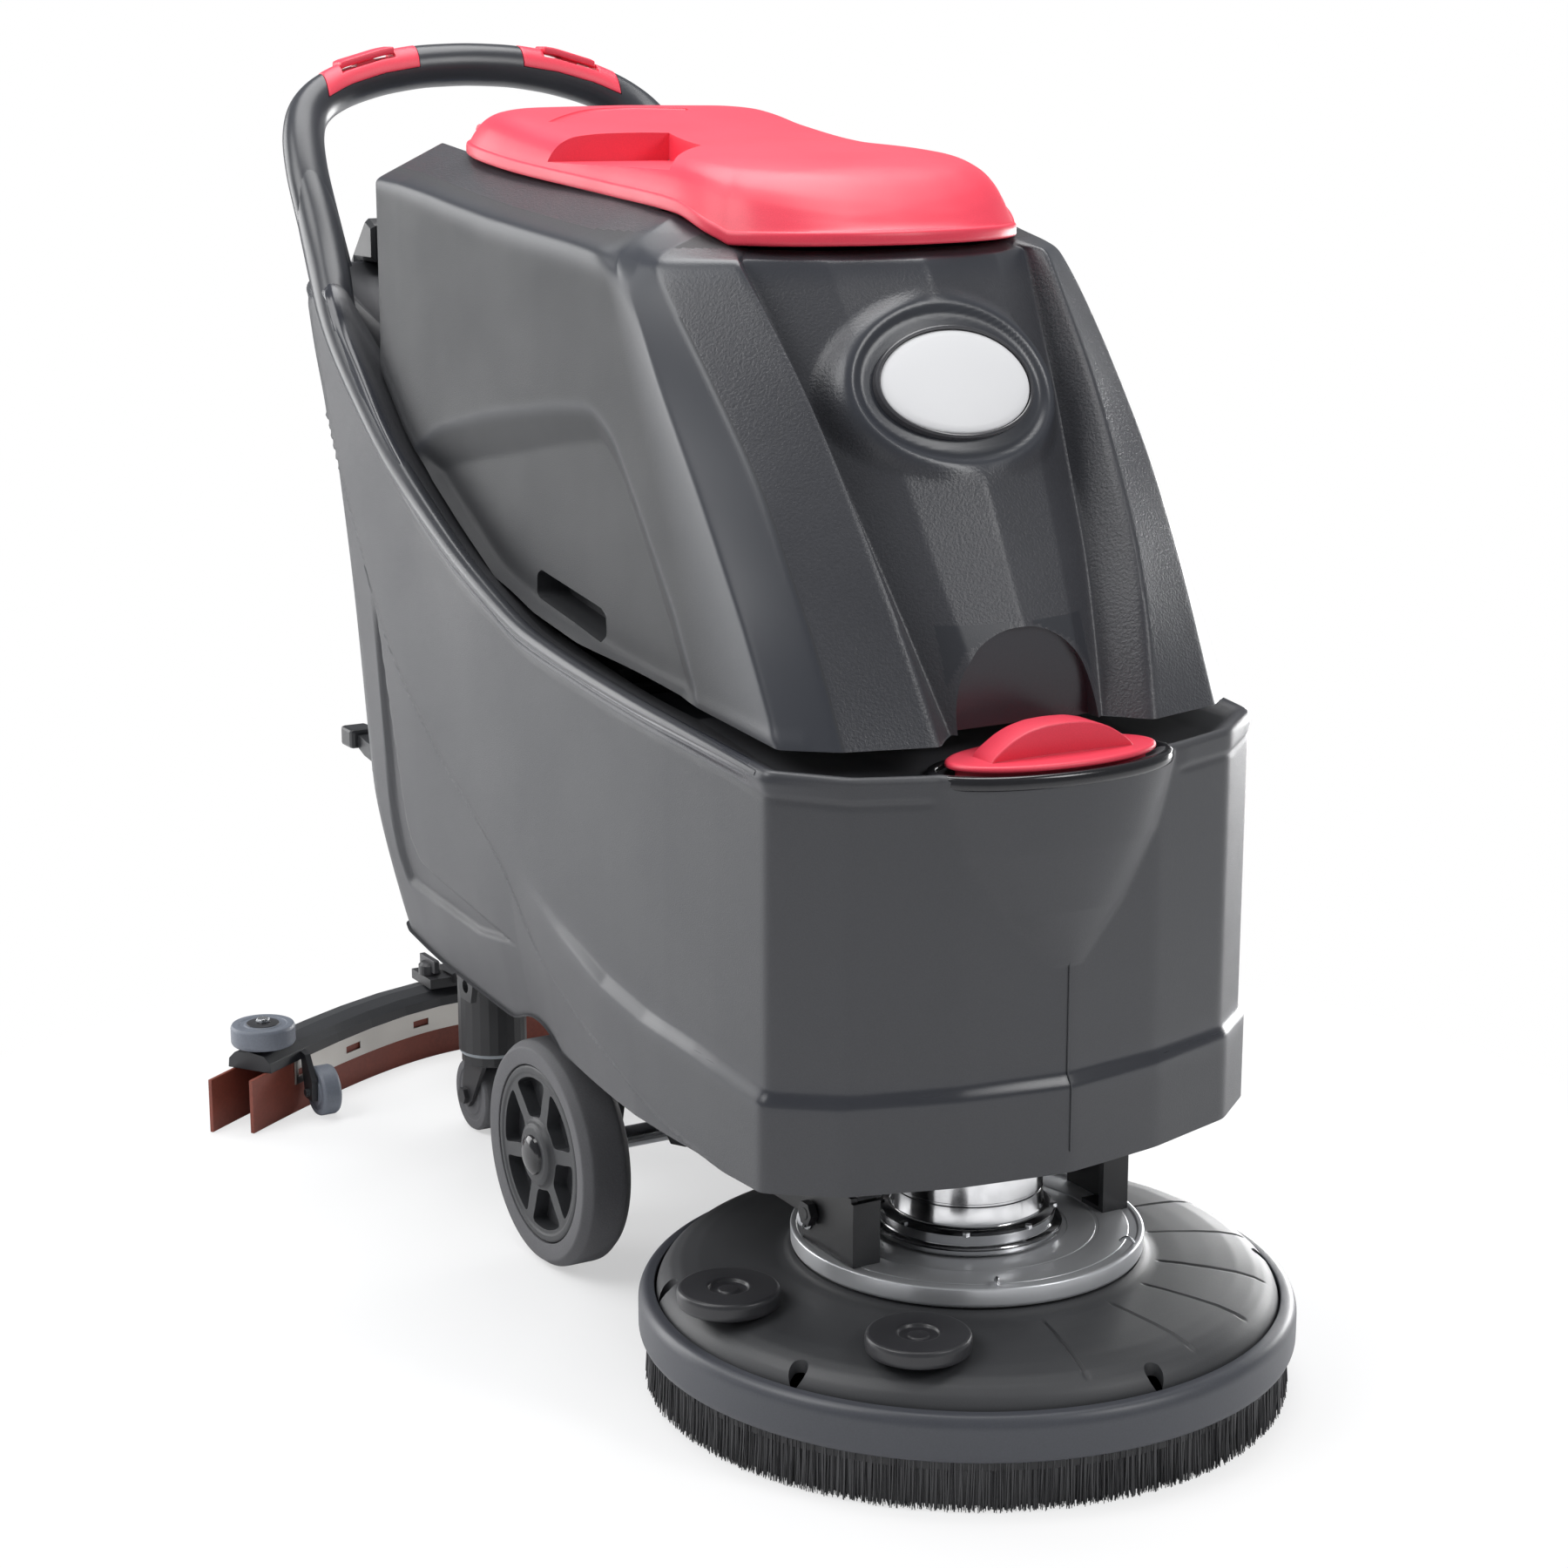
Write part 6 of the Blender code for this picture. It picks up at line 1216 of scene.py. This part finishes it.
def motor():
    plate = turned("deck_plate", rounded_profile([
        (0.0205, 0.1134), (0.1430, 0.1134), (0.1446, 0.1160), (0.1449, 0.1290), (0.1436, 0.1300), (0.1402, 0.1298),
        (0.1392, 0.1284), (0.0205, 0.1284)], [0.0004, 0.001, 0.001, 0.0008, 0.0008, 0.0006, 0.0006, 0.0004], 3),
        "plate", "deck", "Z", DECK_AXIS, 200, True, 35)
    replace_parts(plate, "motor_plate")
    turned("plate_face", rounded_profile([
        (0.0820, 0.1286), (0.0824, 0.1292), (0.1050, 0.1292), (0.1054, 0.1288), (0.1080, 0.1288), (0.1084, 0.1291),
        (0.1320, 0.1291), (0.1326, 0.1286)], 0.0002, 2), "plate", "deck", "Z",
        DECK_AXIS, 160, True, 35)
    can = [(0.002, 0.0745), (0.0118, 0.0745), (0.0118, 0.1292), (0.0768, 0.1292), (0.0780, 0.1300), (0.0780, 0.1338),
           (0.0770, 0.1348), (0.0735, 0.1352), (0.0722, 0.1362), (0.0722, 0.1446), (0.0712, 0.1456), (0.0650, 0.1462),
           (0.0628, 0.1480), (0.0620, 0.1500)]
    for z in (0.166, 0.204):
        can += [(0.0620, z - 0.0016), (0.0612, z - 0.0008), (0.0612, z + 0.0008), (0.0620, z + 0.0016)]
    can += [(0.0620, 0.2340), (0.0612, 0.2385), (0.0592, 0.2425), (0.0560, 0.2455), (0.0500, 0.2480), (0.0300, 0.2502),
            (0.0130, 0.2506), (0.002, 0.2510)]
    body = turned("motor_can", can, "chrome", None, "Z", DECK_AXIS, 144, False, 35)
    ribs = []
    for i in range(8):
        a = 2 * math.pi * i / 8 + 0.2
        x, y, _z = deck_at(0.0705, a, 0)
        ribs.append(turned("bolt", rounded_profile([(0.0, 0.1440), (0.0032, 0.1440), (0.0032, 0.1476),
                                                    (0.0, 0.1476)], 0.0005), "chrome", None, "Z",
                           (x, y, 0), 6, False))
    joined(body, *ribs)
    dress(body, "chrome", "deck", 35)
    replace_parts(body, "brush_motor")


def deck_knobs():
    for name, (x, y, body) in KNOBS.items():
        low = 0.1042
        profile = rounded_profile([
            (0.0, 0.091), (0.0049, 0.091), (0.0049, low), (0.0385, low), (0.0405, low + 0.0012),
            (0.0412, low + 0.0040), (0.0412, low + 0.0110), (0.0402, low + 0.0136), (0.0380, low + 0.0146),
            (0.0180, low + 0.0146), (0.0162, low + 0.0140), (0.0150, low + 0.0118), (0.0110, low + 0.0110),
            (0.0090, low + 0.0112), (0.0075, low + 0.0126), (0.0, low + 0.0130)], 0.0008, 3)
        knob = turned("knob_" + name[10:], profile, "knob", None, "Z", (x, y + SHIFT, 0), 96,
                      False, 40)
        dress(knob, "knob", body, 40)
        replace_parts(knob, name)


def hose_pins():
    """Split pins standing on the plate's rim, and the bolts through the lift brackets."""
    for side, where in FLANKS:
        low, high = side * 0.1325, side * 0.1395
        turned("bracket_washer_" + where, rounded_profile([
            (0.0, low), (0.0098, low), (0.0098, side * 0.1345), (0.0, side * 0.1345)], 0.0004), "steel", "deck",
            "X", (0, -0.3577 + SHIFT, 0.1475), 40, False)
        turned("bracket_bolt_" + where, rounded_profile([
            (0.0, side * 0.1345), (0.0075, side * 0.1345), (0.0075, side * 0.1385), (0.0062, high), (0.0, high)],
            0.0005), "steel", "deck", "X", (0, -0.3577 + SHIFT, 0.1475), 6, False)
    for x, y in ((-0.052, -0.512), (0.088, -0.500)):
        angle = math.atan2(y - DECK_Y, x)
        points = [deck_at(0.1300 + 0.012 * t, angle, 0.1312 + 0.004 * math.sin(math.pi * t))
                  for t in np.linspace(0, 1, 9)]
        tube("split_pin", points, 0.0013, "steel", "deck", 8)


# ---------------------------------------------------------------- wheels
def transport_wheel(side, where):
    x, y, z = side * 0.185, -0.005 + SHIFT, 0.103
    centre = (x, y, z)
    profile = rounded_profile([(0.0812, -0.0220), (0.0965, -0.0238), (0.1025, -0.0160), (0.1029, -0.0120),
                               (0.1029, 0.0120), (0.1025, 0.0160), (0.0965, 0.0238), (0.0812, 0.0220)],
                              [0.0008, 0.002, 0.004, 0.003, 0.003, 0.004, 0.002, 0.0008], 5)
    tyre = turned("tyre_" + where + "_tread", profile, "tyre", "drive_wheel_" + where, "X", centre,
                  180, True, 60)
    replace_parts(tyre, "tyre_" + where)
    rim = [(0.0109, -0.023), (0.030, -0.023), (0.034, -0.010), (0.070, -0.010), (0.074, -0.021), (0.0803, -0.0216),
           (0.0803, 0.0205), (0.0785, 0.0216), (0.0745, 0.0216), (0.0725, 0.0204), (0.0320, 0.0196), (0.0295, 0.0216),
           (0.0280, 0.0240), (0.0240, 0.0258), (0.0109, 0.0266)]
    rim = [(r, side * h) for r, h in rim]
    wheel = turned("wheel_disc_" + where, rounded_profile(rim, 0.0009, 3), "rim", None, "X", centre,
                   144, True, 35)
    cutters = []
    for spoke in range(6):
        a = 2 * math.pi * spoke / 6 + 0.30
        corner = [(0.0335, 0.34), (0.0695, 0.445), (0.0695, -0.445), (0.0335, -0.34)]
        quad = []
        for (r0, s0), (r1, s1) in zip(corner, corner[1:] + corner[:1]):
            for t in np.linspace(0, 1, 8, endpoint=False):
                r, s = r0 + (r1 - r0) * t, s0 + (s1 - s0) * t
                quad.append((y + r * math.cos(a + s), z + r * math.sin(a + s)))
        quad = [tuple(p) for p in smooth_axis(resample(quad, 48, closed=True), 1.3, 0, True)]
        low, high = sorted((side * (0.185 + 0.0065), side * (0.185 + 0.04)))
        cutters.append(prism("pocket", quad, "X", low, high))
    carve(wheel, joined(*cutters))
    dress(wheel, "rim", "drive_wheel_" + where, 38)
    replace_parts(wheel, "wheel_rim_" + where)
    turned("axle_cap_" + where, [(0.0, side * 0.0250), (0.0180, side * 0.0250), (0.0184, side * 0.0262),
                                 (0.0176, side * 0.0284), (0.0152, side * 0.0302), (0.0115, side * 0.0316),
                                 (0.0070, side * 0.0324), (0.0030, side * 0.0327), (0.0, side * 0.0328)],
           "gloss", "drive_wheel_" + where, "X", centre, 60, False)


def small_roller(name, node_name, body, centre, axis, radius, half, bore, mat, hub=None):
    profile = rounded_profile([(bore, -half), (radius * 0.55, -half), (radius * 0.58, -half + 0.0012),
                               (radius * 0.72, -half + 0.0012), (radius * 0.75, -half), (radius - 0.002, -half),
                               (radius - 0.0003, -half + 0.003), (radius - 0.0003, half - 0.003),
                               (radius - 0.002, half), (radius * 0.75, half), (radius * 0.72, half - 0.0012),
                               (radius * 0.58, half - 0.0012), (radius * 0.55, half), (bore, half)], 0.0008, 3)
    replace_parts(turned(name, profile, mat, body, axis, centre, 80, True, 50), node_name)
    if hub:
        turned(name + "_hub", rounded_profile([(bore + 0.0003, half - 0.002), (radius * 0.50, half - 0.002),
                                                     (radius * 0.50, half + 0.0008), (bore + 0.0003, half + 0.0012)],
                                                    0.0005), hub, body, axis, centre, 60)


# ---------------------------------------------------------------- squeegee
def sweep_y(x):
    return 0.610 - (np.hypot(0.150, 0.80 * np.asarray(x, float)) - 0.150)


def swept(name, half, section, mat, step_x=0.006, body="squeegee"):
    xs = np.linspace(-half, half, int(2 * half / step_x) + 1)
    slope = np.gradient(sweep_y(xs), xs)
    normal = np.stack([-slope, np.ones_like(xs)], axis=-1)
    normal /= np.linalg.norm(normal, axis=1)[:, None]
    rings = []
    for x, n in zip(xs, normal):
        rings.append([(x + n[0] * off, float(sweep_y(x)) + n[1] * off, z) for off, z in section])
    grid = shifted(np.array(rings)).transpose(1, 0, 2)
    return grid_object(name, grid, mat, body, caps=True, sharp=40)


def squeegee():
    for name, side, half in (("blade_front", -1, 0.322), ("blade_rear", 1, 0.334)):
        inner, outer = side * 0.0176, side * 0.0214
        section = rounded_profile([(inner, 0.0004), (outer, 0.0004), (outer, 0.0558), (inner, 0.0558)], 0.0008, 3)
        piece = swept(name + "_rubber", half, section, "blade")
        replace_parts(piece, name)
    strap = swept("strap_band", 0.262, rounded_profile([(-0.0220, 0.0302), (-0.0238, 0.0302), (-0.0238, 0.0555),
                                                        (-0.0220, 0.0555)], 0.0006, 2), "stainless")
    cutters = []
    for x in (-0.235, -0.165, -0.070, 0.070, 0.165, 0.235):
        y = float(sweep_y(x)) - 0.023 + SHIFT
        outline = rounded_profile([(x - 0.010, 0.0385), (x + 0.010, 0.0385), (x + 0.010, 0.0460), (x - 0.010, 0.0460)],
                                  0.0034, 5)
        cutters.append(prism("slot", outline, "Y", y - 0.020, y + 0.020))
    carve(strap, joined(*cutters))
    dress(strap, "stainless", "squeegee", 40)
    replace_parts(strap, "blade_strap")
    for side, where in FLANKS:
        x = side * 0.279
        centre = (x, float(sweep_y(0.279)) + SHIFT, 0.0885)
        small_roller("roller_" + where + "_rubber", "bumper_roller_" + where, "roller_" + where, centre, "Z", 0.033,
                     0.0105, 0.0067, "roller", "knob")
        turned("roller_bolt_" + where, rounded_profile([(0.0, 0.0995), (0.0075, 0.0995), (0.0075, 0.1030),
                                                               (0.0060, 0.1046), (0.0, 0.1050)], 0.0006), "steel",
                      "squeegee", "Z", (centre[0], centre[1], 0), 6, False)
        wheel_centre = (side * 0.225, 0.466 + SHIFT, 0.026)
        small_roller("support_" + where + "_rubber", "support_wheel_" + where, "small_wheel_" + where, wheel_centre,
                     "X", 0.026, 0.010, 0.0047, "roller")
        turned("swivel_ring_" + where, rounded_profile([(0.0290, 0.0900), (0.0320, 0.0900), (0.0335, 0.0925),
                                                        (0.0335, 0.0985), (0.0320, 0.1010), (0.0290, 0.1010)],
                                                       0.0008), "ringgrey", "fork_" + where, "Z",
               (side * 0.100, 0.322 + SHIFT, 0), 64)
        caster = (side * 0.100, 0.348 + SHIFT, 0.0375)
        small_roller("caster_" + where + "_tyre", "caster_wheel_" + where, "rear_wheel_" + where, caster, "X", 0.0375,
                     0.014, 0.0047, "tyre")


# ---------------------------------------------------------------- CAD nodes that keep their shape
def keep(mat, *names):
    for name in names:
        obj = NODES[name]
        obj.data.materials.clear()
        obj.data.materials.append(M[mat])
        obj.data.polygons.foreach_set("use_smooth", [False] * len(obj.data.polygons))


def mould_line():
    """The thin line down the middle of the lower tank's front."""
    points = []
    for z in np.linspace(0.236, 0.392, 40):
        push = 0.006 * float(1 - step(-0.0125, 0.0005, z - 0.299))
        points.append((0.0, -0.528 - push - 0.0002 + SHIFT, z))
    tube("front_mould_line", points, 0.0008, "tank", "chassis", 8)


# ---------------------------------------------------------------- camera, floor and light
def aimed(obj, place, direction):
    obj.location = place
    obj.rotation_euler = Vector(direction).to_track_quat("-Z", "Y").to_euler()
    bpy.context.scene.collection.objects.link(obj)
    return obj


def camera():
    data = bpy.data.cameras.new("camera")
    data.lens = 71.654
    data.sensor_width = 36.0
    bpy.context.scene.camera = aimed(bpy.data.objects.new("camera", data), (-1.32933, -2.39294, 1.07308),
                                     (0.4842, 0.8436, -0.2320))


def area(name, place, target, size, power, size_y=None):
    data = bpy.data.lights.new(name, "AREA")
    data.energy = power
    data.shape = "RECTANGLE"
    data.size = size
    data.size_y = size_y or size
    aimed(bpy.data.objects.new(name, data), place, Vector(target) - Vector(place))


def studio():
    scene = bpy.context.scene
    scene.view_settings.view_transform = "Standard"
    world = bpy.data.worlds.new("studio")
    world.use_nodes = True
    tree = world.node_tree
    tree.nodes.clear()
    seen = node(tree, "Background", {0: (1, 1, 1, 1)})
    lit = node(tree, "Background", {0: (0.93, 0.96, 1.0, 1), 1: 0.26})
    camera_ray = node(tree, "LightPath", {}, "Is Camera Ray")
    out = tree.nodes.new("ShaderNodeOutputWorld")
    tree.links.new(node(tree, "MixShader", {0: camera_ray, 1: lit, 2: seen}), out.inputs[0])
    scene.world = world

    floor = new_object("floor", [(-9, -9, 0), (9, -9, 0), (9, 9, 0), (-9, 9, 0)], [(0, 1, 2, 3)], smooth=False)
    floor.data.materials.append(floor_material())
    floor.location.z = -0.0006
    area("key", (-2.5, 0.2, 2.9), (0.0, 0.0, 0.5), 1.9, 66)
    area("front_fill", (1.35, -2.7, 2.5), (0.0, -0.4, 0.6), 0.8, 36, size_y=1.3)
    area("right_rim", (2.7, 1.0, 0.45), (0.1, -0.3, 0.4), 2.0, 84, size_y=0.85)
    area("top", (0.3, 0.5, 3.3), (0.0, 0.0, 0.6), 2.2, 92)
    area("left_rear", (-1.9, 2.9, 1.3), (-0.1, 0.2, 0.6), 1.7, 66, size_y=2.4)


def floor_material():
    """A pale floor near the machine that the camera sees fade to plain white further out."""
    mat, tree, shader, out = new_material("pale floor", (0.9, 0.9, 0.9))
    at = coordinates(tree)
    tone = mix_colour(tree, ramp(tree, noise(tree, at, 3.0), 0.3, 0.7), (0.88, 0.88, 0.89), (0.90, 0.90, 0.90))
    feed(tree, shader.inputs, {"Base Color": tone, "Roughness": 0.8, "Specular IOR Level": 0.1})
    distance = node(tree, "VectorMath", {0: at}, "Value", operation="LENGTH")
    far = ramp(tree, distance, 0.35, 0.95, 0.50, 1.0)
    camera_ray = node(tree, "LightPath", {}, "Is Camera Ray")
    factor = node(tree, "Math", {0: far, 1: camera_ray}, operation="MULTIPLY")
    white = node(tree, "Emission", {})
    tree.links.new(node(tree, "MixShader", {0: factor, 1: shader.outputs[0], 2: white}), out.inputs[0])
    return mat


# ---------------------------------------------------------------- assembly
camera()
studio()
lower_tank()
for flank, where in FLANKS:
    rim_bead(flank, where)
upper_tank()
badge()
lid()
neck_lip()
fill_cap()
handle()
deck_cover()
bumper()
bristles()
motor()
deck_knobs()
hose_pins()
for flank, where in FLANKS:
    transport_wheel(flank, where)
squeegee()
mould_line()
keep("powder", "chassis_frame", "lift_arms", "deck_bracket_right", "deck_bracket_left", "squeegee_arm",
     "caster_fork_right", "caster_fork_left")
keep("black", "squeegee_channel", "control_panel", "deck_pedal", "squeegee_lever", "vacuum_motor")
keep("steel", "wheel_axle", "tank_hinge_rod", "key_switch")
keep("knob", "wing_knob_right", "wing_knob_left")
keep("battery", "battery_front", "battery_rear")
keep("dark", "float_cage", "brush_disc")
keep("white", "float_ball")
keep("screen", "status_display")
keep("green", "button_brush")
keep("blue", "button_vacuum", "button_water", "water_knob")
